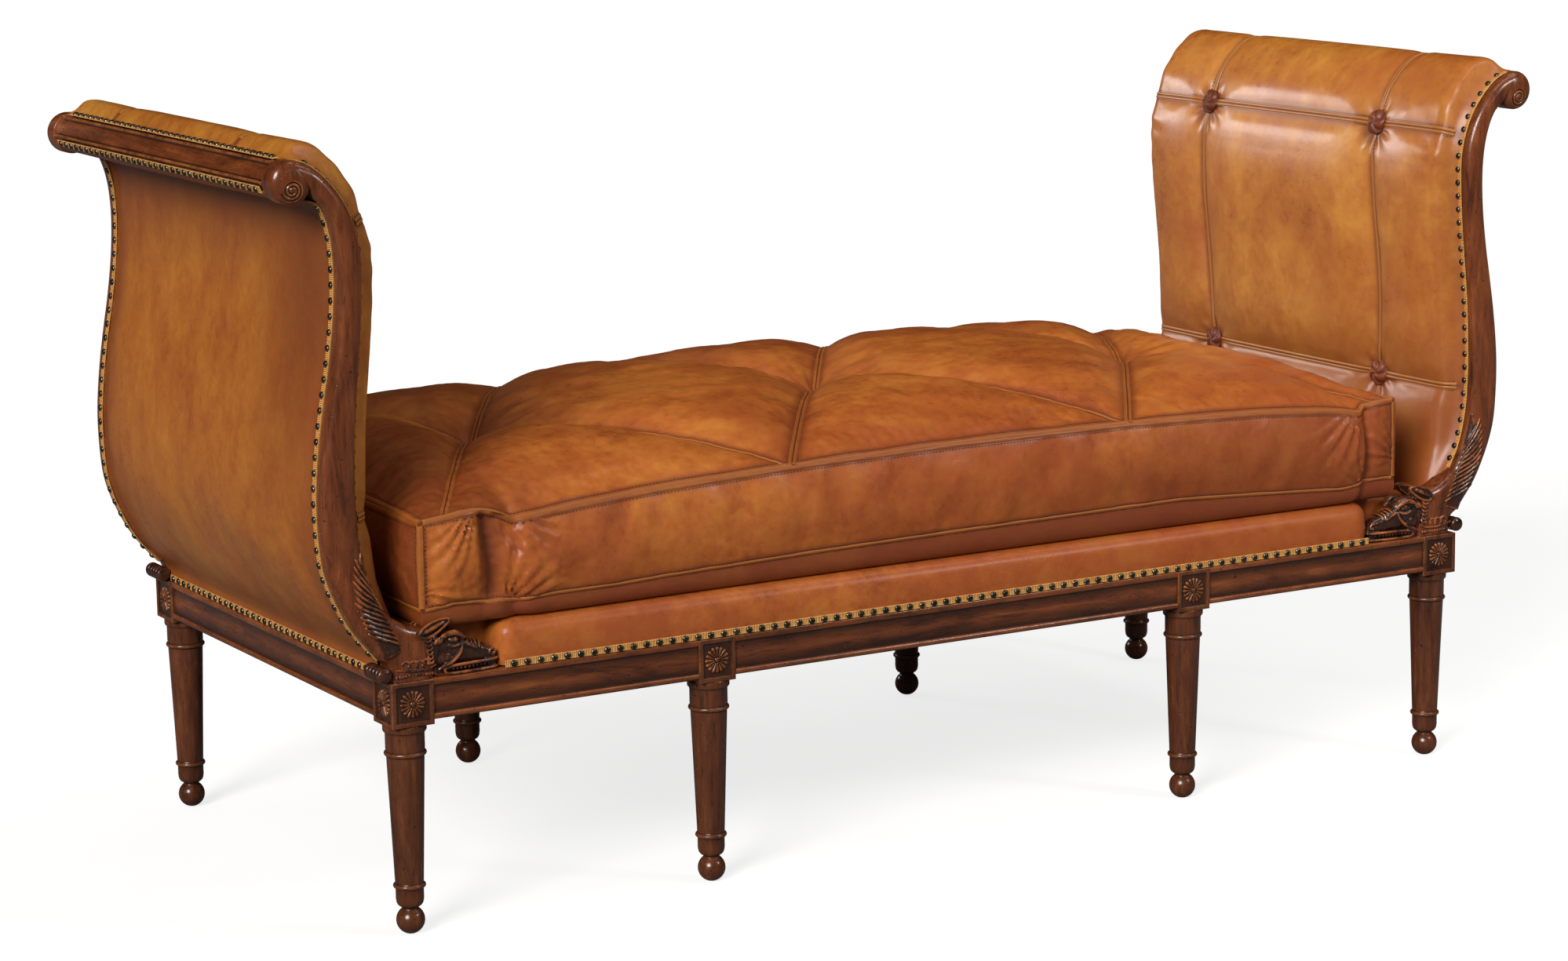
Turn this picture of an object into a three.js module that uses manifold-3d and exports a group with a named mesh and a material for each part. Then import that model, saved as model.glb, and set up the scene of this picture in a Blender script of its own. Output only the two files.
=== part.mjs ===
// Recamier: a long seat on eight turned legs, with a rolled and upholstered arm at each end,
// carved animal heads at the feet of the arms, and a loose leather cushion.
// Millimetres, Z up, front towards -Y. The origin is on the floor below the middle of the seat.
import * as THREE from "three";
import { mergeVertices } from "three/addons/utils/BufferGeometryUtils.js";
import Module from "manifold-3d";

const wasm = await Module();
wasm.setup();

// Seat frame
const gap = 0.3;
const cutOverrun = 1;
const mergeTolerance = 1e-4;
const frameHalfLength = 826.5;
const frameHalfDepth = 385.5;
const railTop = 325;
const blockHeight = 57;
const cornerBlockWidth = 57;
const innerBlockWidth = 53;
const innerLegOffset = 372;
const railHeight = 51;
const railThickness = 26;
const railRecess = 3;
const tenonLength = 18;
const tenonThickness = 8;
const tenonHeight = 34;

// Legs
const footRadius = 18;
const footFlat = 0.4;
const neckRadius = 11;
const neckHeight = 2.5;
const cupRadius = 17.3;
const cupRound = 9;
const lowerRingHeight = 62;
const upperRingHeight = 231;
const ringThickness = 5.5;
const ringOverhang = 2.8;
const shaftBottomRadius = 17.8;
const shaftTopRadius = 23.8;
const drumRadius = 24.5;
const collarRadius = 27.4;
const collarThickness = 6;
const collarStep = 5.5;
const legSides = 12;

// Carved rosettes in the leg blocks
const rosetteRadius = 17;
const rosetteDepth = 2.4;
const rosettePetals = 16;
const rosetteWaist = 13.5;
const rosetteBossRadius = 3.6;
const rosetteBossRise = 0.8;
const fieldBorder = 6;
const fieldDepth = 2.6;

// Arms: each profile is drawn for the right arm, seen from the front
const armReach = 102.5;
const armRise = 619;
const voluteRadius = 26.75;
const voluteEyeRadius = 7;
const voluteEyeRise = 2;
const stileDepth = 33;
const stileRecess = 3;
const stileRound = 7;
const headLength = 85;
const headHeight = 74;
const headRound = 2.5;
const headJointInset = 5.5;
const cornerRollRadius = 10;
const cornerRollOffset = 6;
const cornerRollSides = 12;
const crestFaceDistance = 21.5;
const crestFaceHalfWidth = 15.5;
const crestSkinRadius = 23;
const crestTilt = 31;
const baseRailHeight = 27;
const baseRailThickness = 38;
const baseRailInset = 10.5;

// Upholstery
const padProud = 12;
const padCrown = 11;
const padBack = 12;
const padFlange = 14;
const padEdge = 1.2;
const padTopShare = 0.94;
const padCrownFadeShare = 0.8;
const padCrownEndShare = 0.4;
const padFootShare = 0.1;
const padBackEndShare = 0.25;
const buttonRadius = 17;
const buttonThickness = 9;
const buttonSink = 4;
const buttonSides = 8;
const buttonProfileShares = [
  [0, 0],
  [0.7, 0],
  [1, 0.5],
  [0.8, 0.85],
  [0.35, 1],
  [0, 1],
];
const buttonOffset = 200;
const buttonUpperHeight = 892;
const buttonLowerHeight = 536;
const tuftDepth = 10;
const tuftSpread = 62;
const padSeamDepth = 2.5;
const padSeamSpread = 20;
const outerPanelInset = 3;
const outerPanelThickness = 3;
const outerPanelSteps = 14;
const outerPanelBulge = 8;
const outerPanelBulgeEndShare = 0.92;
const webThickness = 1.5;
const webWidth = 50;
const armWebSpacing = 215;
const seatWebSpacing = 220;
const seatCrossWebSpacing = 180;
const gimpWidth = 9.5;
const gimpThickness = 1.2;

// Fixed seat pad
const seatPadHeadRoom = 3;
const seatPadInset = 2;
const seatPadHeight = 57;
const seatPadRound = 20;
const seatPadCornerRadius = 22;

// Loose cushion
const cushionEndRoom = 149;
const cushionInset = 3.5;
const cushionShift = -30;
const cushionBoxing = 122;
const cushionSag = 29;
const cushionCrown = 66;
const cushionBulge = 7;
const cushionDrawIn = 7;
const cushionEdgeShare = 0.3;
const channelDepth = 13;
const channelSpread = 36;
const tuftSink = 26;
const tuftRadius = 78;

// Colours of the finishes
const walnut = { color: 0x5a2f1b, roughness: 0.38, metalness: 0 };
const carvedWood = { color: 0x3d2014, roughness: 0.34, metalness: 0 };
const beech = { color: 0xb08a5c, roughness: 0.7, metalness: 0 };
const leather = { color: 0xa85a22, roughness: 0.42, metalness: 0 };
const goldenLeather = { color: 0xb3701f, roughness: 0.4, metalness: 0 };
const darkLeather = { color: 0x6f3a1c, roughness: 0.45, metalness: 0 };
const gimpYellow = { color: 0xb98a35, roughness: 0.6, metalness: 0 };
const jute = { color: 0xa38a62, roughness: 0.9, metalness: 0 };

// Places that several pieces share
const blockBottom = railTop - blockHeight;
const cornerLegX = frameHalfLength - cornerBlockWidth / 2;
const voluteX = frameHalfLength + armReach;
const voluteZ = railTop + armRise;
const stileFront = frameHalfDepth - stileRecess;
const stileBack = stileFront - stileDepth;
const betweenStiles = stileBack - gap;
const headJointX = frameHalfLength - cornerBlockWidth - headJointInset;
const cornerRollX = frameHalfLength + cornerRollOffset;
const cornerRollZ = railTop + gap + cornerRollRadius;
const seatPadBottom = railTop + gap + webThickness + gap;
const deckTop = seatPadBottom + seatPadHeight;
const baseRailOuter = frameHalfLength - baseRailInset;
const baseRailInner = baseRailOuter - baseRailThickness;
const baseRailTop = railTop + gap + baseRailHeight;
const seatFace = frameHalfDepth - seatPadInset;
const seatPadHalfLength = headJointX - headLength - seatPadHeadRoom;
const cushionLength = 2 * frameHalfLength - cushionEndRoom;
const cushionDepth = 2 * (frameHalfDepth - cushionInset);

const model = new THREE.Group();
model.name = "recamier";

function closedGeometry(geometry) {
  const bare = geometry.clone();
  for (const name of Object.keys(bare.attributes)) {
    if (name !== "position") bare.deleteAttribute(name);
  }
  return mergeVertices(bare, mergeTolerance);
}

function signedVolume(position, index) {
  const a = new THREE.Vector3();
  const b = new THREE.Vector3();
  const c = new THREE.Vector3();
  let sum = 0;
  for (let i = 0; i < index.length; i += 3) {
    a.fromBufferAttribute(position, index[i]);
    b.fromBufferAttribute(position, index[i + 1]);
    c.fromBufferAttribute(position, index[i + 2]);
    sum += a.dot(b.cross(c));
  }
  return sum;
}

// A closed three.js geometry as a manifold solid whose faces point out
function solid(geometry) {
  const closed = closedGeometry(geometry);
  const triVerts = new Uint32Array(closed.index.array);
  if (signedVolume(closed.attributes.position, triVerts) < 0) {
    for (let i = 0; i < triVerts.length; i += 3) {
      [triVerts[i + 1], triVerts[i + 2]] = [triVerts[i + 2], triVerts[i + 1]];
    }
  }
  const mesh = new wasm.Mesh({
    numProp: 3,
    vertProperties: new Float32Array(closed.attributes.position.array),
    triVerts,
  });
  return new wasm.Manifold(mesh);
}

function geometryOf(manifold) {
  const mesh = manifold.getMesh();
  const geometry = new THREE.BufferGeometry();
  geometry.setAttribute("position", new THREE.BufferAttribute(mesh.vertProperties, 3));
  geometry.setIndex(new THREE.BufferAttribute(mesh.triVerts, 1));
  geometry.computeVertexNormals();
  return geometry;
}

function addPiece(name, manifold, finish, scale = [1, 1, 1]) {
  const mesh = new THREE.Mesh(geometryOf(manifold), new THREE.MeshStandardMaterial(finish));
  mesh.name = name;
  mesh.scale.set(...scale);
  model.add(mesh);
}

function box(x0, x1, y0, y1, z0, z1) {
  const geometry = new THREE.BoxGeometry(x1 - x0, y1 - y0, z1 - z0);
  geometry.translate((x0 + x1) / 2, (y0 + y1) / 2, (z0 + z1) / 2);
  return solid(geometry);
}

// A profile turned about the vertical axis; its points are [radius, height]
function turned(profile, sides) {
  const points = profile.map(([radius, height]) => new THREE.Vector2(radius, height));
  const geometry = new THREE.LatheGeometry(points, sides);
  geometry.rotateX(Math.PI / 2);
  return geometry;
}

// An outline in the XZ plane pushed along Y from y0 to y1, with its edges eased by round
function pushedAlongY(outline, y0, y1, round = 0) {
  const shape = new THREE.Shape(outline.map(([x, z]) => new THREE.Vector2(x, z)));
  const geometry = new THREE.ExtrudeGeometry(shape, {
    depth: y1 - y0 - 2 * round,
    bevelEnabled: round > 0,
    bevelThickness: round,
    bevelSize: round,
    bevelOffset: -round,
    bevelSegments: 1,
    curveSegments: 1,
  });
  geometry.rotateX(Math.PI / 2);
  geometry.translate(0, y1 - round, 0);
  return solid(geometry);
}

// The outline moved outwards by a distance, corner by corner
function grownOutline(outline, distance) {
  const count = outline.length;
  const area = outline.reduce((sum, [x, z], i) => {
    const [nx, nz] = outline[(i + 1) % count];
    return sum + x * nz - nx * z;
  }, 0);
  const turn = Math.sign(area);
  return outline.map(([x, z], i) => {
    const [px, pz] = outline[(i + count - 1) % count];
    const [nx, nz] = outline[(i + 1) % count];
    const before = new THREE.Vector2(z - pz, px - x).normalize();
    const after = new THREE.Vector2(nz - z, x - nx).normalize();
    const normal = before.clone().add(after).normalize();
    const stretch = 1 / Math.max(normal.dot(before), 1 / 2);
    return [x + turn * distance * stretch * normal.x, z + turn * distance * stretch * normal.y];
  });
}

function splineAt(points, shares) {
  const curve = new THREE.SplineCurve(points.map(([x, z]) => new THREE.Vector2(x, z)));
  return shares.map((share) => {
    const point = curve.getPointAt(share);
    return [point.x, point.y];
  });
}

function splinePoints(points, count) {
  return splineAt(points, Array.from({ length: count + 1 }, (_, i) => i / count));
}

// A path moved sideways, to the left of its own direction
function besidePath(path, distance) {
  return path.map(([x, z], i) => {
    const [px, pz] = path[Math.max(i - 1, 0)];
    const [nx, nz] = path[Math.min(i + 1, path.length - 1)];
    const normal = new THREE.Vector2(pz - nz, nx - px).normalize();
    const shift = typeof distance === "function" ? distance(i / (path.length - 1)) : distance;
    return [x + shift * normal.x, z + shift * normal.y];
  });
}

function arc(centerX, centerZ, radius, startDegrees, endDegrees, count) {
  const points = [];
  for (let i = 0; i <= count; i++) {
    const angle = THREE.MathUtils.degToRad(startDegrees + ((endDegrees - startDegrees) * i) / count);
    points.push([centerX + radius * Math.cos(angle), centerZ + radius * Math.sin(angle)]);
  }
  return points;
}

// Left or right and front or back copies of a piece drawn at the right front corner
const corners = [
  ["front_left", -1, 1],
  ["front_right", 1, 1],
  ["back_left", -1, -1],
  ["back_right", 1, -1],
];
const sides = [
  ["left", -1],
  ["right", 1],
];
const longSides = [
  ["front", 1],
  ["back", -1],
];

// Legs

function ringProfile(radius, height) {
  return [
    [radius, height - ringThickness / 2],
    [radius + ringOverhang, height],
    [radius, height + ringThickness / 2],
  ];
}

function legProfile() {
  const ballCenter = footRadius - footFlat;
  const flatRadius = Math.sqrt(footRadius ** 2 - ballCenter ** 2);
  const startAngle = -Math.acos(flatRadius / footRadius);
  const endAngle = Math.acos(neckRadius / footRadius);
  const ballSteps = 4;
  const profile = [[0, 0]];
  for (let i = 0; i <= ballSteps; i++) {
    const angle = startAngle + ((endAngle - startAngle) * i) / ballSteps;
    const height = i === 0 ? 0 : ballCenter + footRadius * Math.sin(angle);
    profile.push([footRadius * Math.cos(angle), height]);
  }
  const neckTop = ballCenter + Math.sqrt(footRadius ** 2 - neckRadius ** 2) + neckHeight;
  const cupSteps = 2;
  for (let i = 0; i <= cupSteps; i++) {
    const angle = (Math.PI / 2) * (i / cupSteps);
    const radius = neckRadius + (cupRadius - neckRadius) * Math.sin(angle);
    profile.push([radius, neckTop + cupRound * (1 - Math.cos(angle))]);
  }
  profile.push(...ringProfile(shaftBottomRadius, lowerRingHeight));
  profile.push(...ringProfile(shaftTopRadius, upperRingHeight));
  const collarBottom = blockBottom - collarThickness;
  profile.push([drumRadius, upperRingHeight + ringThickness]);
  profile.push([drumRadius, collarBottom - collarStep]);
  profile.push([collarRadius, collarBottom]);
  profile.push([collarRadius, blockBottom + cutOverrun]);
  profile.push([0, blockBottom + cutOverrun]);
  return profile;
}

// The carved flower, facing -Y, with its centre at the origin of its back
function rosette() {
  const outline = [];
  for (let i = 0; i < 2 * rosettePetals; i++) {
    const angle = (Math.PI * i) / rosettePetals;
    const radius = i % 2 ? rosetteWaist : rosetteRadius;
    outline.push([radius * Math.cos(angle), radius * Math.sin(angle)]);
  }
  const flower = pushedAlongY(outline, -rosetteDepth, cutOverrun);
  const bossTop = rosetteDepth + rosetteBossRise;
  const boss = turned([[0, 0], [rosetteBossRadius, 0], [rosetteBossRadius / 2, bossTop], [0, bossTop]], 8);
  boss.rotateX(Math.PI / 2);
  return flower.add(solid(boss));
}

function leg(blockWidth, centerX, sideRosette) {
  const half = blockWidth / 2;
  const centerY = -(frameHalfDepth - half);
  const shaft = solid(turned(legProfile(), legSides)).translate([centerX, centerY, 0]);
  const front = centerY - half;
  const fieldHalf = half - fieldBorder;
  const middle = blockBottom + blockHeight / 2;
  const fieldLow = blockBottom + fieldBorder;
  const fieldHigh = railTop - fieldBorder;
  let block = box(centerX - half, centerX + half, front, centerY + half, blockBottom, railTop);
  block = block.subtract(
    box(centerX - fieldHalf, centerX + fieldHalf, front - cutOverrun, front + fieldDepth, fieldLow, fieldHigh),
  );
  block = block.add(rosette().translate([centerX, front + fieldDepth, middle]));
  if (sideRosette) {
    const outer = centerX + half;
    block = block.subtract(
      box(outer - fieldDepth, outer + cutOverrun, centerY - fieldHalf, centerY + fieldHalf, fieldLow, fieldHigh),
    );
    const turnedFlower = rosette().rotate([0, 0, 90]);
    block = block.add(turnedFlower.translate([outer - fieldDepth, centerY, middle]));
  }
  return shaft.add(block);
}

// A mortise is a tenon's space with the clearance round it
const tenonTop = railTop - (railHeight - tenonHeight) / 2;
const tenonBottom = tenonTop - tenonHeight;
const frontRailMiddle = frameHalfDepth - railRecess - railThickness / 2;
const sideRailMiddle = frameHalfLength - railRecess - railThickness / 2;

function tenonAlongX(xFrom, xTo, middleY, grow) {
  const half = tenonThickness / 2 + grow;
  return box(xFrom - grow, xTo + grow, middleY - half, middleY + half, tenonBottom - grow, tenonTop + grow);
}

function tenonAlongY(yFrom, yTo, middleX, grow) {
  const half = tenonThickness / 2 + grow;
  return box(middleX - half, middleX + half, yFrom - grow, yTo + grow, tenonBottom - grow, tenonTop + grow);
}

const cornerInnerX = frameHalfLength - cornerBlockWidth;
const innerLegLeft = innerLegOffset - innerBlockWidth / 2;
const innerLegRight = innerLegOffset + innerBlockWidth / 2;
const cornerBlockBack = frameHalfDepth - cornerBlockWidth;
const innerBlockBack = frameHalfDepth - innerBlockWidth;

const cornerLeg = leg(cornerBlockWidth, cornerLegX, true)
  .subtract(tenonAlongX(cornerInnerX - cutOverrun, cornerInnerX + tenonLength, -frontRailMiddle, gap))
  .subtract(tenonAlongY(-cornerBlockBack - tenonLength, -cornerBlockBack + cutOverrun, sideRailMiddle, gap));
const innerLeg = leg(innerBlockWidth, innerLegOffset, false)
  .subtract(tenonAlongX(innerLegLeft - cutOverrun, innerLegLeft + tenonLength, -frontRailMiddle, gap))
  .subtract(tenonAlongX(innerLegRight - tenonLength, innerLegRight + cutOverrun, -frontRailMiddle, gap))
  .subtract(tenonAlongY(-innerBlockBack - tenonLength, -innerBlockBack + cutOverrun, innerLegOffset, gap));

for (const [corner, sx, sy] of corners) {
  addPiece("leg_" + corner, cornerLeg, walnut, [sx, sy, 1]);
  addPiece("leg_" + corner + "_middle", innerLeg, walnut, [sx, sy, 1]);
}

// Seat rails, tenoned into the leg blocks

function railAlongX(xFrom, xTo) {
  const outer = -(frameHalfDepth - railRecess);
  const body = box(xFrom + gap, xTo - gap, outer, outer + railThickness, railTop - railHeight, railTop);
  return body.add(tenonAlongX(xFrom - tenonLength, xTo + tenonLength, -frontRailMiddle, 0));
}

const endRail = railAlongX(innerLegRight, cornerInnerX);
const middleRail = railAlongX(-innerLegLeft, innerLegLeft);
for (const [place, sy] of longSides) {
  for (const [side, sx] of sides) {
    addPiece("seat_rail_" + place + "_" + side, endRail, walnut, [sx, sy, 1]);
  }
  addPiece("seat_rail_" + place + "_middle", middleRail, walnut, [1, sy, 1]);
}

const sideRailOuter = frameHalfLength - railRecess;
const sideRail = box(
  sideRailOuter - railThickness,
  sideRailOuter,
  -cornerBlockBack + gap,
  cornerBlockBack - gap,
  railTop - railHeight,
  railTop,
).add(tenonAlongY(-cornerBlockBack - tenonLength, cornerBlockBack + tenonLength, sideRailMiddle, 0));
const crossRail = box(
  innerLegOffset - railThickness / 2,
  innerLegOffset + railThickness / 2,
  -innerBlockBack + gap,
  innerBlockBack - gap,
  railTop - railHeight,
  railTop,
).add(tenonAlongY(-innerBlockBack - tenonLength, innerBlockBack + tenonLength, innerLegOffset, 0));
for (const [side, sx] of sides) {
  addPiece("side_rail_" + side, sideRail, walnut, [sx, 1, 1]);
  addPiece("cross_rail_" + side, crossRail, beech, [sx, 1, 1]);
}

// Scrolled stiles of the arms. Shares of the arm's reach and rise, from the block's outer top edge

const stileOuterShares = [
  [0.08, 0.046],
  [0.235, 0.078],
  [0.39, 0.112],
  [0.53, 0.155],
  [0.65, 0.202],
  [0.725, 0.25],
  [0.757, 0.315],
  [0.76, 0.38],
  [0.73, 0.444],
  [0.68, 0.508],
  [0.615, 0.572],
  [0.545, 0.635],
  [0.483, 0.706],
  [0.45, 0.767],
  [0.44, 0.824],
  [0.463, 0.879],
  [0.527, 0.924],
  [0.62, 0.953],
  [0.735, 0.969],
];
const stileInnerShares = [
  [-0.09, 0.128],
  [0.05, 0.154],
  [0.16, 0.19],
  [0.24, 0.234],
  [0.295, 0.283],
  [0.318, 0.331],
  [0.326, 0.388],
  [0.317, 0.444],
  [0.3, 0.508],
  [0.268, 0.57],
  [0.225, 0.638],
  [0.19, 0.696],
  [0.165, 0.751],
  [0.15, 0.816],
  [0.16, 0.864],
  [0.23, 0.913],
  [0.355, 0.958],
  [0.55, 1],
  [0.766, 1.029],
];
const stileFootShares = [
  [-0.29, 0.109],
  [-0.5, 0.1],
];

function armPoint([reachShare, riseShare]) {
  return [frameHalfLength + reachShare * armReach, railTop + riseShare * armRise];
}

const outerSteps = 14;
const innerSteps = 13;
const stileOuterEdge = splinePoints(stileOuterShares.map(armPoint), outerSteps);
const stileInnerEdge = splinePoints(stileInnerShares.map(armPoint), innerSteps);
const voluteTop = [voluteX, voluteZ + voluteRadius];
const innerEdgeToVolute = [...stileInnerEdge, voluteTop];

function stileOutline() {
  const foot = railTop + gap;
  const rollSeat = arc(cornerRollX, cornerRollZ, cornerRollRadius + gap, 180, 115, 3);
  return [
    [headJointX + gap, foot],
    [cornerRollX - cornerRollRadius - gap, foot],
    ...rollSeat,
    ...stileOuterEdge,
    [voluteX, voluteZ],
    ...[...innerEdgeToVolute].reverse(),
    ...stileFootShares.map(armPoint),
    [headJointX + gap, armPoint(stileFootShares[1])[1]],
  ];
}

// The stile's space with a clearance all round it, for cutting what lies against it
function stileSpace(clearance) {
  const outline = grownOutline(stileOutline(), clearance);
  const stem = pushedAlongY(outline, -stileFront - clearance, -stileBack + clearance, stileRound - clearance);
  const disc = pushedAlongY(
    arc(voluteX, voluteZ, voluteRadius + clearance, 0, 345, 23),
    -stileFront - clearance,
    -stileBack + clearance,
    stileRound / 2 - clearance,
  );
  return stem.add(disc);
}

const eyeTop = stileFront + voluteEyeRise;
const voluteEye = turned(
  [[0, 0], [voluteEyeRadius, 0], [voluteEyeRadius, eyeTop - stileBack - voluteEyeRise / 2], [0, eyeTop - stileBack]],
  12,
);
voluteEye.rotateX(Math.PI / 2);
const stile = stileSpace(0).add(solid(voluteEye).translate([voluteX, -stileBack, voluteZ]));
for (const [corner, sx, sy] of corners) {
  addPiece("arm_stile_" + corner, stile, walnut, [sx, sy, 1]);
}

// Carved heads that lie along the seat rail, snout towards the middle.
// Shares of the head's length from the stile, and of its height above the rail

const headOutlineShares = [
  [0, 0],
  [0.94, 0],
  [1, 0.05],
  [0.97, 0.12],
  [0.58, 0.1],
  [0.22, 0.08],
  [0.13, 0.14],
  [0.24, 0.21],
  [0.6, 0.22],
  [0.93, 0.21],
  [1, 0.28],
  [0.94, 0.39],
  [0.74, 0.45],
  [0.6, 0.5],
  [0.5, 0.62],
  [0.38, 0.7],
  [0.34, 0.84],
  [0.27, 0.96],
  [0.12, 1],
  [0, 0.84],
];
const headOutline = headOutlineShares.map(([lengthShare, heightShare]) => [
  headJointX - lengthShare * headLength,
  railTop + gap + heightShare * headHeight,
]);
const head = pushedAlongY(headOutline, -stileFront, -stileBack, headRound);
for (const [corner, sx, sy] of corners) {
  addPiece("carved_head_" + corner, head, carvedWood, [sx, sy, 1]);
}

// Small reeded rolls on the outer corners of the frame, below the arms

const rollGroove = 1.2;
const rollLength = 46;
const rollReeds = 3;

function placedRoll(profile) {
  const roll = turned(profile, cornerRollSides);
  roll.rotateX(Math.PI / 2);
  return solid(roll).translate([cornerRollX, -(stileFront - rollLength), cornerRollZ]);
}

const rollProfile = [[0, 0]];
for (let i = 0; i < rollReeds; i++) {
  const start = (rollLength * i) / rollReeds;
  const end = (rollLength * (i + 1)) / rollReeds;
  rollProfile.push([cornerRollRadius - rollGroove, start]);
  rollProfile.push([cornerRollRadius, (start + end) / 2]);
}
rollProfile.push([cornerRollRadius - rollGroove, rollLength]);
rollProfile.push([0, rollLength]);
const cornerRoll = placedRoll(rollProfile);
const spaceRadius = cornerRollRadius + gap;
const rollSpace = placedRoll([[0, -gap], [spaceRadius, -gap], [spaceRadius, rollLength], [0, rollLength]]);

for (const [corner, sx, sy] of corners) {
  addPiece("corner_roll_" + corner, cornerRoll, carvedWood, [sx, sy, 1]);
}

// Crest rails between the volutes

const crestLedge = 40;
const crestWrap = 78;

function crestOutline(clearance) {
  const corner = Math.hypot(crestFaceDistance, crestFaceHalfWidth) + clearance;
  const cornerAngle = THREE.MathUtils.radToDeg(Math.atan2(crestFaceHalfWidth, crestFaceDistance));
  const skin = crestSkinRadius + clearance;
  const wrap = 3;
  return [
    ...arc(voluteX, voluteZ, corner, crestTilt - cornerAngle, crestTilt + cornerAngle, 1),
    ...arc(voluteX, voluteZ, skin, crestTilt + crestLedge, crestTilt + crestWrap, wrap),
    [voluteX - crestSkinRadius / 2 - clearance, voluteZ + crestSkinRadius / 3],
    [voluteX - crestSkinRadius / 2 - clearance, voluteZ - crestSkinRadius / 2],
    ...arc(voluteX, voluteZ, skin, crestTilt - crestWrap, crestTilt - crestLedge, wrap),
  ];
}

const crestRail = pushedAlongY(crestOutline(0), -betweenStiles, betweenStiles);
for (const [side, sx] of sides) {
  addPiece("crest_rail_" + side, crestRail, walnut, [sx, 1, 1]);
}

// Rails at the foot of each arm, hidden by the upholstery

const baseRail = box(
  baseRailInner,
  baseRailOuter,
  -betweenStiles,
  betweenStiles,
  railTop + gap,
  baseRailTop,
);
for (const [side, sx] of sides) {
  addPiece("arm_base_rail_" + side, baseRail, beech, [sx, 1, 1]);
}

// Arm pads: their path runs up the inside of the stile and over the top

const padFootRise = baseRailTop + gap;
const padPathPoints = [
  [baseRailOuter - padBack, padFootRise],
  [baseRailOuter - padBack, (padFootRise + deckTop) / 2],
  ...stileInnerShares.slice(1).map(armPoint),
  voluteTop,
];
const padSteps = 17;
const padEndShares = [0.966, 0.985, 1];
const padTopSteps = 4;
const padShares = [...Array.from({ length: padSteps }, (_, i) => i / padSteps), ...padEndShares];
const padPath = splineAt(padPathPoints, padShares);

function smooth(low, high, value) {
  return THREE.MathUtils.smoothstep(value, low, high);
}

function buttonDip(y, z) {
  let dip = 0;
  for (const height of [buttonUpperHeight, buttonLowerHeight]) {
    const away = Math.hypot(Math.abs(y) - buttonOffset, z - height);
    dip = Math.max(dip, tuftDepth * Math.exp(-((away / tuftSpread) ** 2)));
    dip = Math.max(dip, padSeamDepth * Math.exp(-(((z - height) / padSeamSpread) ** 2)));
  }
  return Math.max(dip, padSeamDepth * Math.exp(-(((Math.abs(y) - buttonOffset) / padSeamSpread) ** 2)));
}

const padEdgeShares = [-1, -0.93, -0.8, -0.68, -0.57, -0.46, -0.3, 0, 0.3, 0.46, 0.57, 0.68, 0.8, 0.93, 1];
const padHalfDepth = betweenStiles + padFlange;

function padSection(station, height) {
  const progress = padShares[station];
  const overTop = Math.max(progress - padTopShare, 0) / (1 - padTopShare);
  const atTop = Math.sqrt(Math.max(1 - overTop ** 2, 0));
  const atFoot = smooth(0, padFootShare, progress);
  const atCrest = smooth(padCrownFadeShare, 1, progress);
  const crownHere = padCrown * atFoot * (1 - atCrest * (1 - padCrownEndShare));
  const back = -padBack * Math.max(atTop, padBackEndShare);
  const section = [];
  section.push([-padHalfDepth, gap]);
  for (const share of padEdgeShares) {
    const y = share * padHalfDepth;
    const crown = crownHere * (1 - share ** 4);
    const proud = (padProud * (1 - share ** 12 / 2) + crown - buttonDip(y, height)) * atTop;
    section.push([y, Math.max(proud, padEdge)]);
  }
  section.push([padHalfDepth, gap]);
  section.push([betweenStiles, gap]);
  section.push([betweenStiles, back]);
  section.push([-betweenStiles, back]);
  section.push([-betweenStiles, gap]);
  return section;
}

function loft(path, sectionAt) {
  const positions = [];
  const index = [];
  let count = 0;
  let firstSection = [];
  path.forEach(([x, z], i) => {
    const [px, pz] = path[Math.max(i - 1, 0)];
    const [nx, nz] = path[Math.min(i + 1, path.length - 1)];
    const normal = new THREE.Vector2(pz - nz, nx - px).normalize();
    const section = sectionAt(i, z);
    if (i === 0) firstSection = section;
    count = section.length;
    for (const [y, away] of section) {
      positions.push(x + away * normal.x, y, z + away * normal.y);
    }
  });
  for (let i = 0; i < path.length - 1; i++) {
    for (let j = 0; j < count; j++) {
      const a = i * count + j;
      const b = i * count + ((j + 1) % count);
      index.push(a, b, b + count, a, b + count, a + count);
    }
  }
  const contour = firstSection.map(([y, away]) => new THREE.Vector2(y, away));
  const lastRow = (path.length - 1) * count;
  const clockwise = THREE.ShapeUtils.area(contour) < 0;
  for (const [a, b, c] of THREE.ShapeUtils.triangulateShape(contour, [])) {
    const [first, second] = clockwise ? [c, b] : [b, c];
    index.push(a, second, first);
    index.push(lastRow + a, lastRow + first, lastRow + second);
  }
  const geometry = new THREE.BufferGeometry();
  geometry.setAttribute("position", new THREE.Float32BufferAttribute(positions, 3));
  geometry.setIndex(index);
  return geometry;
}

// The point and direction of the pad's surface at a height, for seating a button
function padSurface(y, height) {
  const straight = padPath.length - padTopSteps;
  const nearest = padPath.reduce((best, point, i) => {
    const closer = Math.abs(point[1] - height) < Math.abs(padPath[best][1] - height);
    return closer && i < straight ? i : best;
  }, 0);
  const [px, pz] = padPath[nearest - 1];
  const [nx, nz] = padPath[nearest + 1];
  const share = THREE.MathUtils.clamp((height - pz) / (nz - pz), 0, 1);
  const normal = new THREE.Vector2(pz - nz, nx - px).normalize();
  const x = px + (nx - px) * share;
  const proud = padProud + padCrown * (1 - (y / padHalfDepth) ** 4) - tuftDepth;
  return { x: x + proud * normal.x, z: height + proud * normal.y, normal };
}

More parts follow.
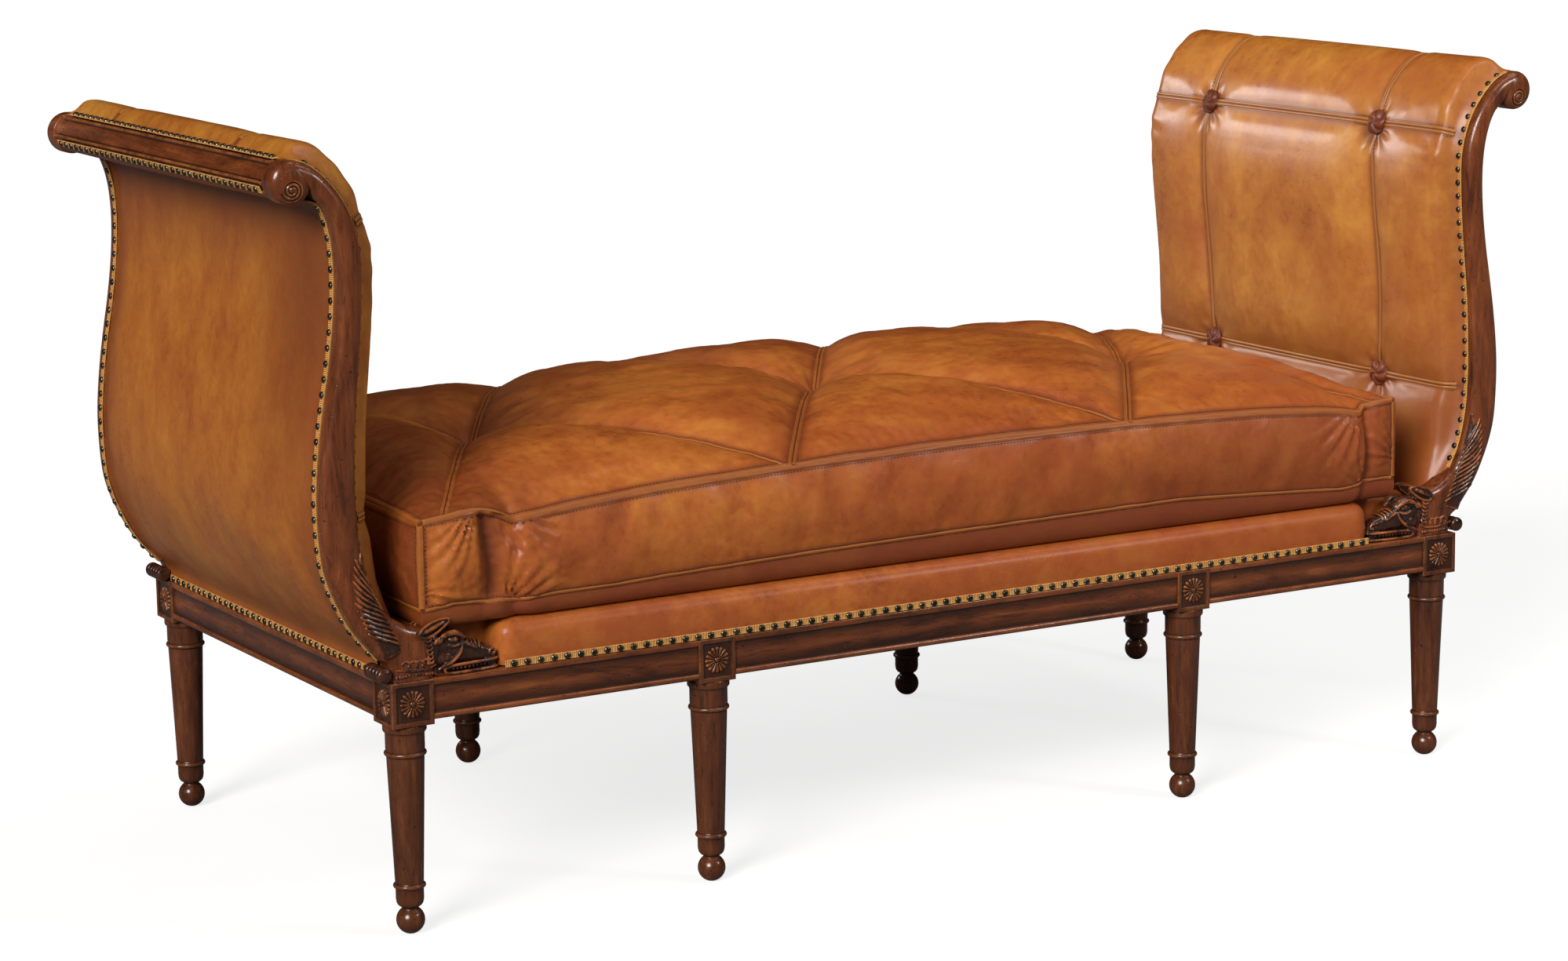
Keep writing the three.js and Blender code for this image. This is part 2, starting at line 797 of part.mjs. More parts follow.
function button(y, height, grow) {
  const radius = buttonRadius + grow;
  const thickness = buttonThickness + 2 * grow;
  const profile = buttonProfileShares.map(([radiusShare, thicknessShare]) => [
    radiusShare * radius,
    thicknessShare * thickness - buttonSink - grow,
  ]);
  const seat = padSurface(y, height);
  const geometry = turned(profile, buttonSides);
  const facing = new THREE.Vector3(seat.normal.x, 0, seat.normal.y);
  const turn = new THREE.Quaternion().setFromUnitVectors(new THREE.Vector3(0, 0, 1), facing);
  geometry.applyQuaternion(turn);
  geometry.translate(seat.x, y, seat.z);
  return solid(geometry);
}

const buttonPlaces = [
  ["upper_front", -buttonOffset, buttonUpperHeight],
  ["upper_back", buttonOffset, buttonUpperHeight],
  ["lower_front", -buttonOffset, buttonLowerHeight],
  ["lower_back", buttonOffset, buttonLowerHeight],
];

const frontStileSpace = stileSpace(gap);
let armPad = solid(loft(padPath, padSection))
  .subtract(frontStileSpace)
  .subtract(frontStileSpace.mirror([0, 1, 0]))
  .subtract(box(0, voluteX, -frameHalfDepth, frameHalfDepth, 0, padFootRise))
  .subtract(pushedAlongY(crestOutline(gap), -betweenStiles - gap, betweenStiles + gap));
for (const [, y, height] of buttonPlaces) {
  armPad = armPad.subtract(button(y, height, gap));
}
for (const [side, sx] of sides) {
  addPiece("arm_pad_" + side, armPad, goldenLeather, [sx, 1, 1]);
  for (const [place, y, height] of buttonPlaces) {
    addPiece("arm_button_" + side + "_" + place, button(y, height, 0), darkLeather, [sx, 1, 1]);
  }
}

// Webbing behind each arm pad

const armWebRows = [4, 7, 10, 13];
const armWebRowSteps = 2;
const armWebEndSteps = 4;
const armWebPath = [
  [baseRailOuter, railTop + gap + webThickness],
  ...besidePath(padPath, -padBack).slice(0, -armWebEndSteps),
];
const armWebInner = besidePath(armWebPath, -gap);
const armWebOuter = besidePath(armWebPath, -gap - webThickness);

function armWebStrip(from, to, y0, y1) {
  const outline = [...armWebInner.slice(from, to), ...armWebOuter.slice(from, to).reverse()];
  return pushedAlongY(outline, y0, y1);
}

let armWebbing = armWebStrip(0, armWebPath.length, -webWidth / 2, webWidth / 2);
for (const turn of [-1, 1]) {
  const middle = turn * armWebSpacing;
  armWebbing = armWebbing.add(armWebStrip(0, armWebPath.length, middle - webWidth / 2, middle + webWidth / 2));
}
for (const row of armWebRows) {
  const end = row + armWebRowSteps;
  armWebbing = armWebbing.add(armWebStrip(row, end, -betweenStiles, betweenStiles));
}
armWebbing = armWebbing.subtract(
  box(0, baseRailOuter + gap, -frameHalfDepth, frameHalfDepth, 0, padFootRise),
);
for (const [side, sx] of sides) {
  addPiece("arm_webbing_" + side, armWebbing, jute, [sx, 1, 1]);
}

// Outer leather of each arm, from below the crest rail to the top of the side rail

const outerPanelThroatShares = [0.765, 0.9625];
const outerPanelStart = -32;
const outerPanelTurn = -115;
const outerPanelTurnSteps = 5;
const outerPanelRadius = crestSkinRadius + outerPanelThickness + 2 * gap;
const outerPanelTurnPoints = arc(
  voluteX,
  voluteZ,
  outerPanelRadius,
  outerPanelStart,
  outerPanelTurn,
  outerPanelTurnSteps,
);
const outerPanelX = sideRailOuter - gimpThickness - gap;
const outerPanelPath = [
  ...outerPanelTurnPoints,
  ...splinePoints(
    [
      outerPanelTurnPoints[outerPanelTurnSteps],
      armPoint(outerPanelThroatShares),
      ...besidePath([...stileOuterEdge].reverse(), -outerPanelInset).slice(1, -1),
      [outerPanelX, railTop + gap + gimpWidth],
    ],
    outerPanelSteps,
  ).slice(1),
  [outerPanelX, railTop + gap],
];
const outerPanelSideShares = [-1, -0.8, -0.35, 0.35, 0.8, 1];

function outerPanelSection(station) {
  const progress = station / (outerPanelPath.length - 1);
  const along = Math.min(progress / outerPanelBulgeEndShare, 1);
  const bulge = outerPanelBulge * Math.max(Math.sin(Math.PI * along ** 2), 0);
  const outside = outerPanelSideShares.map((share) => [share * betweenStiles, bulge * (1 - share ** 4)]);
  const inside = outside.map(([y, away]) => [y, away - outerPanelThickness]).reverse();
  return [...outside, ...inside];
}

const outerPanel = solid(loft(outerPanelPath, outerPanelSection))
  .subtract(pushedAlongY(crestOutline(gap), -frameHalfDepth, frameHalfDepth))
  .subtract(rollSpace)
  .subtract(rollSpace.mirror([0, 1, 0]));
for (const [side, sx] of sides) {
  addPiece("arm_outer_panel_" + side, outerPanel, leather, [sx, 1, 1]);
}

// Webbing on top of the seat rails

let seatWebbing = box(
  -baseRailInner + gap,
  baseRailInner - gap,
  -webWidth / 2,
  webWidth / 2,
  railTop + gap,
  railTop + gap + webThickness,
);
for (const turn of [-1, 1]) {
  const middle = turn * seatWebSpacing;
  seatWebbing = seatWebbing.add(
    box(
      -baseRailInner + gap,
      baseRailInner - gap,
      middle - webWidth / 2,
      middle + webWidth / 2,
      railTop + gap,
      railTop + gap + webThickness,
    ),
  );
}
const crossWebs = 3;
const webReach = frontRailMiddle + railThickness / 4;
for (let i = -crossWebs; i <= crossWebs; i++) {
  const middle = i * seatCrossWebSpacing;
  seatWebbing = seatWebbing.add(
    box(
      middle - webWidth / 2,
      middle + webWidth / 2,
      -webReach,
      webReach,
      railTop + gap,
      railTop + gap + webThickness,
    ),
  );
}
addPiece("seat_webbing", seatWebbing, jute);

// Fixed seat pad: a stuffed edge with a rounded front, and tongues that reach under the arms

function slab(halfLength, halfDepth, corner, round) {
  const shape = new THREE.Shape();
  shape.moveTo(-halfLength + corner, -halfDepth);
  shape.lineTo(halfLength - corner, -halfDepth);
  shape.absarc(halfLength - corner, -halfDepth + corner, corner, -Math.PI / 2, 0);
  shape.absarc(halfLength - corner, halfDepth - corner, corner, 0, Math.PI / 2);
  shape.absarc(-halfLength + corner, halfDepth - corner, corner, Math.PI / 2, Math.PI);
  shape.absarc(-halfLength + corner, -halfDepth + corner, corner, Math.PI, (3 * Math.PI) / 2);
  const geometry = new THREE.ExtrudeGeometry(shape, {
    depth: seatPadHeight,
    bevelThickness: round,
    bevelSize: round,
    bevelOffset: -round,
    bevelSegments: 3,
    curveSegments: 3,
  });
  geometry.translate(0, 0, deckTop - seatPadHeight - round);
  const whole = solid(geometry);
  const below = box(-halfLength, halfLength, -halfDepth, halfDepth, -deckTop, seatPadBottom);
  return whole.subtract(below);
}

const seatPad = slab(seatPadHalfLength, seatFace, seatPadCornerRadius, seatPadRound).add(
  slab(baseRailInner - gap, betweenStiles - padFlange, seatPadCornerRadius / 2, seatPadRound / 2),
);
addPiece("seat_pad", seatPad, leather);

// Gimp strips along the foot of the leather

const gimpLow = railTop + gap;
const gimpHigh = gimpLow + gimpWidth;
const longGimp = box(
  -seatPadHalfLength + seatPadCornerRadius / 2,
  seatPadHalfLength - seatPadCornerRadius / 2,
  -seatFace - gap - gimpThickness,
  -seatFace - gap,
  gimpLow,
  gimpHigh,
);
for (const [place, sy] of longSides) {
  addPiece("gimp_" + place, longGimp, gimpYellow, [1, sy, 1]);
}
const rollInnerEnd = stileFront - rollLength;
const sideGimp = box(
  outerPanelX + gap,
  outerPanelX + gap + gimpThickness,
  -rollInnerEnd + gap,
  rollInnerEnd - gap,
  gimpLow,
  gimpHigh,
);
for (const [side, sx] of sides) {
  addPiece("gimp_" + side, sideGimp, gimpYellow, [sx, 1, 1]);
}

// Loose cushion: crowned, with three crossed channels pulled down to a tuft at each crossing

const bottomSeam = deckTop + gap + cushionSag;
const topSeam = bottomSeam + cushionBoxing;
const tuftShares = [-0.66, 0.035, 0.73];
const seamEndShares = [-0.95, -0.305, 0.39, 0.955];

function cushionChannels(u, v) {
  const x = (u * cushionLength) / 2;
  const y = (v * cushionDepth) / 2;
  let dip = 0;
  tuftShares.forEach((tuftShare, i) => {
    const tuftX = (tuftShare * cushionLength) / 2;
    const away = Math.hypot(x - tuftX, y);
    const sink = tuftSink * Math.exp(-((away / tuftRadius) ** 2));
    for (const endShare of [seamEndShares[i], seamEndShares[i + 1]]) {
      for (const edge of [-1, 1]) {
        const endX = (endShare * cushionLength) / 2;
        const endY = (edge * cushionDepth) / 2;
        const along = new THREE.Vector2(endX - tuftX, endY);
        const here = new THREE.Vector2(x - tuftX, y);
        const share = THREE.MathUtils.clamp(here.dot(along) / along.lengthSq(), 0, 1);
        const distance = here.distanceTo(along.multiplyScalar(share));
        dip = Math.max(dip, channelDepth * Math.exp(-((distance / channelSpread) ** 2)) + sink);
      }
    }
    dip = Math.max(dip, sink);
  });
  return dip;
}

function cushionPlan(u, v) {
  const drawX = cushionDrawIn * (1 - v * v) * Math.abs(u) ** 8 * Math.sign(u);
  const drawY = cushionDrawIn * (1 - u * u) * Math.abs(v) ** 8 * Math.sign(v);
  return [
    cushionShift + (u * cushionLength) / 2 - drawX,
    (v * cushionDepth) / 2 - drawY,
  ];
}

function cushionTop(u, v) {
  const rise = (1 - Math.abs(v) ** 2.6) * (1 - Math.abs(u) ** 12);
  const fade = 1 - Math.max(Math.abs(u) ** 24, Math.abs(v) ** 8);
  const height = topSeam + cushionCrown * rise - cushionChannels(u, v) * fade;
  return [...cushionPlan(u, v), height];
}

function cushionBottom(u, v) {
  const rise = smooth(0, cushionEdgeShare, 1 - Math.abs(v)) * (1 - Math.abs(u) ** 24);
  return [...cushionPlan(u, v), bottomSeam - cushionSag * rise];
}

// A closed form from a top and a bottom surface over the same grid, with bulging bands between their edges
function pillow(columns, rows, bands, top, bottom, bulge) {
  const positions = [];
  const index = [];
  const share = (k, count) => (2 * k) / count - 1;
  const gridId = (level, i, j) => level * (columns + 1) * (rows + 1) + j * (columns + 1) + i;
  for (const surface of [top, bottom]) {
    for (let j = 0; j <= rows; j++) {
      for (let i = 0; i <= columns; i++) {
        positions.push(...surface(share(i, columns), share(j, rows)));
      }
    }
  }
  for (let j = 0; j < rows; j++) {
    for (let i = 0; i < columns; i++) {
      const [a, b, c, d] = [gridId(0, i, j), gridId(0, i + 1, j), gridId(0, i + 1, j + 1), gridId(0, i, j + 1)];
      index.push(a, b, c, a, c, d);
      const [e, f, g, h] = [gridId(1, i, j), gridId(1, i + 1, j), gridId(1, i + 1, j + 1), gridId(1, i, j + 1)];
      index.push(e, g, f, e, h, g);
    }
  }
  const edge = [];
  for (let i = 0; i < columns; i++) edge.push([i, 0]);
  for (let j = 0; j < rows; j++) edge.push([columns, j]);
  for (let i = columns; i > 0; i--) edge.push([i, rows]);
  for (let j = rows; j > 0; j--) edge.push([0, j]);
  const ring = (band) =>
    edge.map(([i, j]) => {
      if (band === 0) return gridId(0, i, j);
      if (band === bands) return gridId(1, i, j);
      const u = share(i, columns);
      const v = share(j, rows);
      const high = new THREE.Vector3(...top(u, v));
      const low = new THREE.Vector3(...bottom(u, v));
      const point = high.lerp(low, band / bands);
      const out = bulge * Math.sin((Math.PI * band) / bands);
      if (Math.abs(u) === 1) point.x += out * Math.sign(u) * (1 - v ** 4);
      if (Math.abs(v) === 1) point.y += out * Math.sign(v) * (1 - u ** 16);
      positions.push(point.x, point.y, point.z);
      return positions.length / 3 - 1;
    });
  let upper = ring(0);
  for (let band = 1; band <= bands; band++) {
    const lower = ring(band);
    upper.forEach((id, k) => {
      const next = (k + 1) % upper.length;
      index.push(id, lower[k], lower[next], id, lower[next], upper[next]);
    });
    upper = lower;
  }
  const geometry = new THREE.BufferGeometry();
  geometry.setAttribute("position", new THREE.Float32BufferAttribute(positions, 3));
  geometry.setIndex(index);
  return geometry;
}

const cushionColumns = 32;
const cushionRows = 13;
const cushionBands = 3;
const cushion = pillow(cushionColumns, cushionRows, cushionBands, cushionTop, cushionBottom, cushionBulge);
addPiece("seat_cushion", solid(cushion), leather);

export default model;
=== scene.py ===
"""Recamier: a leather daybed with two scrolled arms. Shapes are drawn in millimetres and made in metres."""
import math
import random

import bmesh
import bpy
import numpy as np
from mathutils import Matrix, Vector


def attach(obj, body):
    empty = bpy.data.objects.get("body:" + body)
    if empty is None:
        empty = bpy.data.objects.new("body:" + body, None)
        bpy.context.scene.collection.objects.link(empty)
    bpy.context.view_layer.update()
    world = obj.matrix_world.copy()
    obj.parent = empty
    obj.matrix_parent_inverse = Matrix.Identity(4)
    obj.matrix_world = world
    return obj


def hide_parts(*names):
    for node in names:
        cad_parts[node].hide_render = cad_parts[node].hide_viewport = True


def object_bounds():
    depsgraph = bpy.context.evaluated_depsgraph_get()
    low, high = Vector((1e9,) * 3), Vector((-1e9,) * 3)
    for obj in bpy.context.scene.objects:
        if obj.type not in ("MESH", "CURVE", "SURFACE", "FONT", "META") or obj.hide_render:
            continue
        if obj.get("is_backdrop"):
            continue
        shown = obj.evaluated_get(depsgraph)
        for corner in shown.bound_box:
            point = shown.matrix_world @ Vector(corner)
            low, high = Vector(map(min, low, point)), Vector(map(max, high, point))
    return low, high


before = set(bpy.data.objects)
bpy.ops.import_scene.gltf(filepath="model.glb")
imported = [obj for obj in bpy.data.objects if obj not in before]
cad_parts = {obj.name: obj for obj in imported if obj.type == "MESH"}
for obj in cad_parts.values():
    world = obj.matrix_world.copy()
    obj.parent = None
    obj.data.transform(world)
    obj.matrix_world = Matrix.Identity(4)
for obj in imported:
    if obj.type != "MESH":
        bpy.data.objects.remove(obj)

cad_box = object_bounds()
MM = 0.001
TO_MM = 1000

# Seat frame
FRAME_HALF_LENGTH = 826.5
FRAME_HALF_DEPTH = 385.5
RAIL_TOP = 325
RAIL_BOTTOM = 274
RAIL_FACE = 2.2
BLOCK_HEIGHT = 57
CORNER_BLOCK = 57
INNER_BLOCK = 53
INNER_LEG_X = 372
CORNER_LEG_X = FRAME_HALF_LENGTH - CORNER_BLOCK / 2
GAP = 0.3
SEAT_TOP = RAIL_TOP + GAP

# Arms
REACH = 102.5
RISE = 619
STILE_FRONT = 382.5
STILE_BACK = 349.5
STILE_ROUND = 14
VOLUTE_X = FRAME_HALF_LENGTH + REACH
VOLUTE_Z = RAIL_TOP + RISE
VOLUTE_RADIUS = 26.75
HEAD_JOINT_X = 764
ROLL_X = 832.5
ROLL_Z = 335.3
ROLL_RADIUS = 10
ROLL_LENGTH = 46
BUTTON_Y = 200
BUTTON_HIGH = 885
BUTTON_LOW = 528
GIMP_WIDTH = 9.5
GIMP_THICKNESS = 1.3
GIMP_MIDDLE_Y = 359.2
NAIL_SPACING = 18.5
NAIL_RADIUS = 4.5

# Seat
DECK_BOTTOM = 327.1
DECK_TOP = 384.1
DECK_HALF_LENGTH = 676
DECK_FACE = 383.5
CUSHION_X = -30
CUSHION_HALF_LENGTH = 752
CUSHION_HALF_DEPTH = 382
CROWN = 60

SIDES = {"left": -1, "right": 1}
PLACES = {"front": 1, "back": -1}
CORNERS = {"front_left": (-1, 1), "front_right": (1, 1), "back_left": (-1, -1), "back_right": (1, -1)}


# Forms: points in millimetres with the faces between them

class Form:
    """Points and faces, with each point's darkness (shade, mostly painted shade) and place along its strip
    (run).
    """

    def __init__(self):
        self.points, self.faces, self.shade, self.run = [], [], [], []
        self.count = 0

    def add(self, points, faces, shade=0.0, run=0.0):
        points = floats(points).reshape(-1, 3)
        self.points.append(points)
        self.shade.append(np.broadcast_to(floats(shade).ravel(), len(points)))
        self.run.append(np.broadcast_to(floats(run).ravel(), len(points)))
        for group in faces:
            self.faces.append(np.asarray(group, int) + self.count)
        self.count += len(points)
        return self

    def join(self, other, scale=(1, 1, 1), shift=(0, 0, 0)):
        for points, shade, run in zip(other.points, other.shade, other.run):
            self.points.append(points * np.array(scale, float) + np.array(shift, float))
            self.shade.append(shade)
            self.run.append(run)
        self.faces += [group + self.count for group in other.faces]
        self.count += other.count
        return self

    def all_points(self):
        return np.vstack(self.points)


def floats(values):
    return np.asarray(values, float)


def skin(rows, columns, around=False, along=False):
    """The four-sided faces of a grid of points; around closes each row and along closes each column."""
    i, j = np.meshgrid(np.arange(rows - (not along)), np.arange(columns - (not around)), indexing="ij")
    down, right = (i + 1) % rows, (j + 1) % columns
    corners = [i * columns + j, i * columns + right, down * columns + right, down * columns + j]
    return np.stack(corners, -1).reshape(-1, 4)


def lathe(form, profile, sides=48, shade=0.0, place=lambda p: p):
    """A turned piece about the vertical; its profile is [radius, height] from axis to axis."""
    profile = floats(profile)
    turn = full_turn(sides)
    radius, height = profile[:, :1], profile[:, 1:]
    rings = np.stack([radius * np.cos(turn), radius * np.sin(turn), height + 0 * turn], -1)
    form.add(place(rings.reshape(-1, 3)), [skin(len(profile), sides, around=True)], shade)


def lofted(form, rings, shade=0.0, run=0.0):
    """A closed body through rings of points that all have the same count."""
    rings = floats(rings)
    rows, columns = rings.shape[:2]
    last = (rows - 1) * columns
    caps = [np.arange(columns)[::-1][None, :], (np.arange(columns) + last)[None, :]]
    form.add(rings.reshape(-1, 3), [skin(rows, columns, around=True), *caps], shade, run)


def ease(low, high, value):
    """0 below low and 1 above high, or the other way round, smooth between."""
    t = np.clip((floats(value) - low) / (high - low), 0, 1)
    return t * t * (3 - 2 * t)


def bump(value, middle, spread):
    """1 at the middle, falling smoothly to 0 on both sides."""
    return np.exp(-(((floats(value) - middle) / spread) ** 2))


def full_turn(count):
    """Evenly spaced angles once round."""
    return np.arange(count) * 2 * math.pi / count


def arc_points(center, radius, start, end, count):
    turn = np.radians(np.linspace(start, end, count))
    return np.stack([center[0] + radius * np.cos(turn), center[1] + radius * np.sin(turn)], -1)


def length_along(path):
    """The length from a path's start to each of its points."""
    return np.append(0, np.cumsum(np.linalg.norm(np.diff(path, axis=0), axis=1)))


def spread_along(path, count):
    """The same path with evenly spaced points."""
    path = floats(path)
    length = length_along(path)
    target = np.linspace(0, length[-1], count)
    return np.stack([np.interp(target, length, path[:, k]) for k in range(path.shape[1])], -1)


def between(p0, p1, p2, p3, t):
    """A smooth curve from p1 to p2, at t from 0 to 1, led by the points before and after them."""
    v0, v1 = (p2 - p0) / 2, (p3 - p1) / 2
    bend = -3 * p1 + 3 * p2 - 2 * v0 - v1
    return (2 * p1 - 2 * p2 + v0 + v1) * t**3 + bend * t**2 + v0 * t + p1


def spline(knots, count, fine=24):
    """A smooth curve through the knots, with evenly spaced points."""
    knots = floats(knots)
    before = np.vstack([knots[:1], knots[:-2]])
    after = np.vstack([knots[2:], knots[-1:]])
    t = np.linspace(0, 1, fine, endpoint=False)[:, None]
    parts = [between(*four, t) for four in zip(before, knots[:-1], knots[1:], after)]
    return spread_along(np.vstack([*parts, knots[-1:]]), count)


def unit(vectors):
    return vectors / np.maximum(np.linalg.norm(vectors, axis=-1, keepdims=True), 1e-9)


def left_of(path):
    """The unit vectors to the left of a flat path's own direction."""
    run = np.gradient(path, axis=0)
    return unit(np.stack([-run[:, 1], run[:, 0]], -1))


def tube(form, path, radius, sides=10, shade=0.0, flat=1.0, up=(0, 0, 1)):
    """A round bar along a path, with a radius for each point; flat squeezes it along up."""
    path = floats(path)
    radius = np.broadcast_to(floats(radius), len(path))[:, None, None]
    ahead = unit(np.gradient(path, axis=0))
    across = unit(np.cross(ahead, floats(up)))
    lift = np.cross(across, ahead)
    turn = full_turn(sides)[None, :, None]
    ring = across[:, None, :] * np.cos(turn) + lift[:, None, :] * np.sin(turn) * flat
    lofted(form, path[:, None, :] + ring * radius, shade)


def ball(form, center, radii, shade=0.0, sides=24, rows=14):
    tilt = np.linspace(-math.pi / 2, math.pi / 2, rows)
    lathe(form, np.stack([np.cos(tilt), np.sin(tilt)], -1), sides, shade,
          lambda p: p * floats(radii) + floats(center))


def repeated(form, points, faces, places, axes, shade=0.0):
    """Copies of a small shape; axes holds for each place the directions of the shape's own x, y and z."""
    points, places, axes = floats(points), floats(places), floats(axes)
    if not len(places):
        return
    copies = np.einsum("pk,nkd->npd", points, axes) + places[:, None, :]
    shift = np.arange(len(places))[:, None, None] * len(points)
    all_faces = [(group[None] + shift).reshape(-1, group.shape[1]) for group in faces]
    form.add(copies.reshape(-1, 3), all_faces, shade)


# Surfaces that seams, stitches and nails follow

class Sheet:
    """A grid of points whose outer side is away from the filling."""

    def __init__(self, grid, outward=1):
        self.grid = grid
        across = np.gradient(grid, axis=1)
        down = np.gradient(grid, axis=0)
        self.normals = unit(np.cross(across, down)) * outward

    def at(self, rows, columns):
        """Points and outward directions at shares of the rows and columns, 0 to 1."""
        high, wide = self.grid.shape[:2]
        r = np.clip(floats(rows), 0, 1) * (high - 1)
        c = np.clip(floats(columns), 0, 1) * (wide - 1)
        i, j = np.minimum(r.astype(int), high - 2), np.minimum(c.astype(int), wide - 2)
        a, b = (r - i)[:, None], (c - j)[:, None]
        out = []
        for values in (self.grid, self.normals):
            top = values[i, j] * (1 - b) + values[i, j + 1] * b
            low = values[i + 1, j] * (1 - b) + values[i + 1, j + 1] * b
            out.append(top * (1 - a) + low * a)
        return out[0], unit(out[1])


def ribbon(form, points, normals, section, shade=0.0, closed=False):
    """A low strip that follows a surface; its section is [across, up]."""
    section = floats(section)
    ahead = unit(np.gradient(points, axis=0))
    across = np.cross(ahead, normals)
    sideways, up = section[None, :, :1], section[None, :, 1:]
    rings = points[:, None] + across[:, None] * sideways + normals[:, None] * up
    length = length_along(points)
    run = np.repeat(length, len(section))
    shades = np.broadcast_to(floats(shade), len(section))
    if closed:
        form.add(rings[:-1].reshape(-1, 3), [skin(len(points) - 1, len(section), True, True)],
                 np.tile(shades, len(points) - 1), run[: -len(section)])
    else:
        lofted(form, rings, np.tile(shades, len(points)), run)


def stepped(points, normals, spacing, start=0.0):
    """Places at even steps along a path, with the directions ahead, across and out of the surface."""
    length = length_along(points)
    count = max(int((length[-1] - 2 * start) / spacing), 1)
    target = start + (np.arange(count) + 0.5) * (length[-1] - 2 * start) / count
    where = np.stack([np.interp(target, length, points[:, k]) for k in range(3)], -1)
    out = unit(np.stack([np.interp(target, length, normals[:, k]) for k in range(3)], -1))
    run = np.gradient(points, axis=0)
    ahead = unit(np.stack([np.interp(target, length, run[:, k]) for k in range(3)], -1))
    across = unit(np.cross(out, ahead))
    return where, np.stack([np.cross(across, out), across, out], 1)


STITCH_LENGTH = 3.3
STITCH_WIDTH = 1.6
STITCH_RISE = 0.6
STITCH_SPACING = 4.9


def stitch_shape():
    tilt = np.linspace(-math.pi / 2, math.pi / 2, 5)
    small = Form()
    lathe(small, np.stack([np.cos(tilt), np.sin(tilt)], -1), 6)
    p = small.all_points()
    along, across, up = p[:, 2] * STITCH_LENGTH / 2, p[:, 0] * STITCH_WIDTH / 2, p[:, 1] * STITCH_RISE
    return np.stack([along, across, up], -1), small.faces


STITCH = stitch_shape()


def stitches(form, points, normals, side=0.0, spacing=STITCH_SPACING):
    """A row of stitches beside a seam."""
    ahead = unit(np.gradient(points, axis=0))
    row = points + np.cross(ahead, normals) * side
    places, axes = stepped(row, normals, spacing, spacing / 2)
    repeated(form, STITCH[0], STITCH[1], places, axes)


def nail_shape():
    tilt = np.radians([0, 22, 44, 66, 90])
    dome = np.stack([NAIL_RADIUS * np.cos(tilt), 0.5 + 0.62 * NAIL_RADIUS * np.sin(tilt)], -1)
    small = Form()
    lathe(small, [[0, -0.6], [NAIL_RADIUS * 0.96, -0.6], [NAIL_RADIUS, 0.1], *dome], 14)
    return small.all_points(), small.faces


NAIL = nail_shape()


def nails(form, points, normals, start=0.0):
    places, axes = stepped(points, normals, NAIL_SPACING, start)
    repeated(form, NAIL[0], NAIL[1], places, axes)


def gimp_strip(form, points, normals, thickness=GIMP_THICKNESS, width=GIMP_WIDTH):
    """A flat band with soft edges and a raised line along each side."""
    half = width / 2
    shares = [(-1, 0), (-0.94, 0.7), (-0.8, 1), (-0.6, 0.8), (0.6, 0.8), (0.8, 1), (0.94, 0.7), (1, 0)]
    ribbon(form, points, normals, [(a * half, b * thickness) for a, b in shares])


# Painted shade: each seam is darkened at its edges and in its groove, and a little on its ridges.
WELT_SHARES = [(-1, 0), (-0.86, 0.85), (-0.55, 1), (-0.25, 0.95), (-0.07, 0.5), (0, -0.35),
               (0.07, 0.5), (0.25, 0.95), (0.55, 1), (0.86, 0.85), (1, 0)]
WELT_SHADES = [1, 0.6, 0.3, 0.3, 0.7, 1, 0.7, 0.3, 0.3, 0.6, 1]
RIDGE_SHARES = [(-1, 0), (-0.6, 0.75), (0, 1), (0.5, 0.85), (0.8, 0.4), (1, 0)]
RIDGE_SHADES = [1, 0.6, 0.4, 0.4, 0.7, 1]


def double_welt(form, thread, points, normals, half=5.2, rise=1.5, gap=1.6):
    """A wide seam with two ridges, a groove between them and stitches outside them."""
    ribbon(form, points, normals, [(a * half, b * rise) for a, b in WELT_SHARES], WELT_SHADES)
    for side in (-1, 1):
        stitches(thread, points, normals, side * (half + gap))


def single_seam(form, thread, points, normals, side=1, half=2.2, rise=1.1, gap=1.8):
    """A narrow ridge with stitches on one side."""
    ribbon(form, points, normals, [(a * half, b * rise) for a, b in RIDGE_SHARES], RIDGE_SHADES)
    stitches(thread, points, normals, side * (half + gap))


# Making the pieces

def placed(name, data):
    """An object in the scene for a mesh, a lamp or a camera."""
    obj = bpy.data.objects.new(name, data)
    bpy.context.scene.collection.objects.link(obj)
    return obj


def relief_of(mesh, passes):
    """How much the surface turns at each point: above zero on edges, below zero in hollows."""
    count = len(mesh.vertices)
    points = vectors_of(mesh.vertices, "co", count) * TO_MM
    normals = vectors_of(mesh.vertices, "normal", count)
    ends = np.empty(len(mesh.edges) * 2, int)
    mesh.edges.foreach_get("vertices", ends)
    ends = ends.reshape(-1, 2)
    step = points[ends[:, 1]] - points[ends[:, 0]]
    far = np.maximum((step**2).sum(1), 1e-3)
    total = np.bincount(ends[:, 0], -(normals[ends[:, 0]] * step).sum(1) / far, count)
    total += np.bincount(ends[:, 1], (normals[ends[:, 1]] * step).sum(1) / far, count)
    meets = np.maximum(np.bincount(ends.ravel(), minlength=count), 1)
    relief = np.clip(total / meets, -0.5, 0.5)
    for _ in range(passes):
        around = np.bincount(ends[:, 0], relief[ends[:, 1]], count)
        around += np.bincount(ends[:, 1], relief[ends[:, 0]], count)
        relief = (relief + around / meets) / 2
    return relief


def face_outwards(mesh, weld=0):
    """Turn all faces to the outside; points closer than weld become one."""
    tidy = bmesh.new()
    tidy.from_mesh(mesh)
    if weld:
        bmesh.ops.remove_doubles(tidy, verts=tidy.verts, dist=weld * MM)
    bmesh.ops.recalc_face_normals(tidy, faces=tidy.faces)
    tidy.to_mesh(mesh)
    tidy.free()


def vectors_of(items, field, count):
    """One vector of three numbers for each item of a mesh."""
    values = np.empty(count * 3)
    items.foreach_get(field, values)
    return values.reshape(-1, 3)


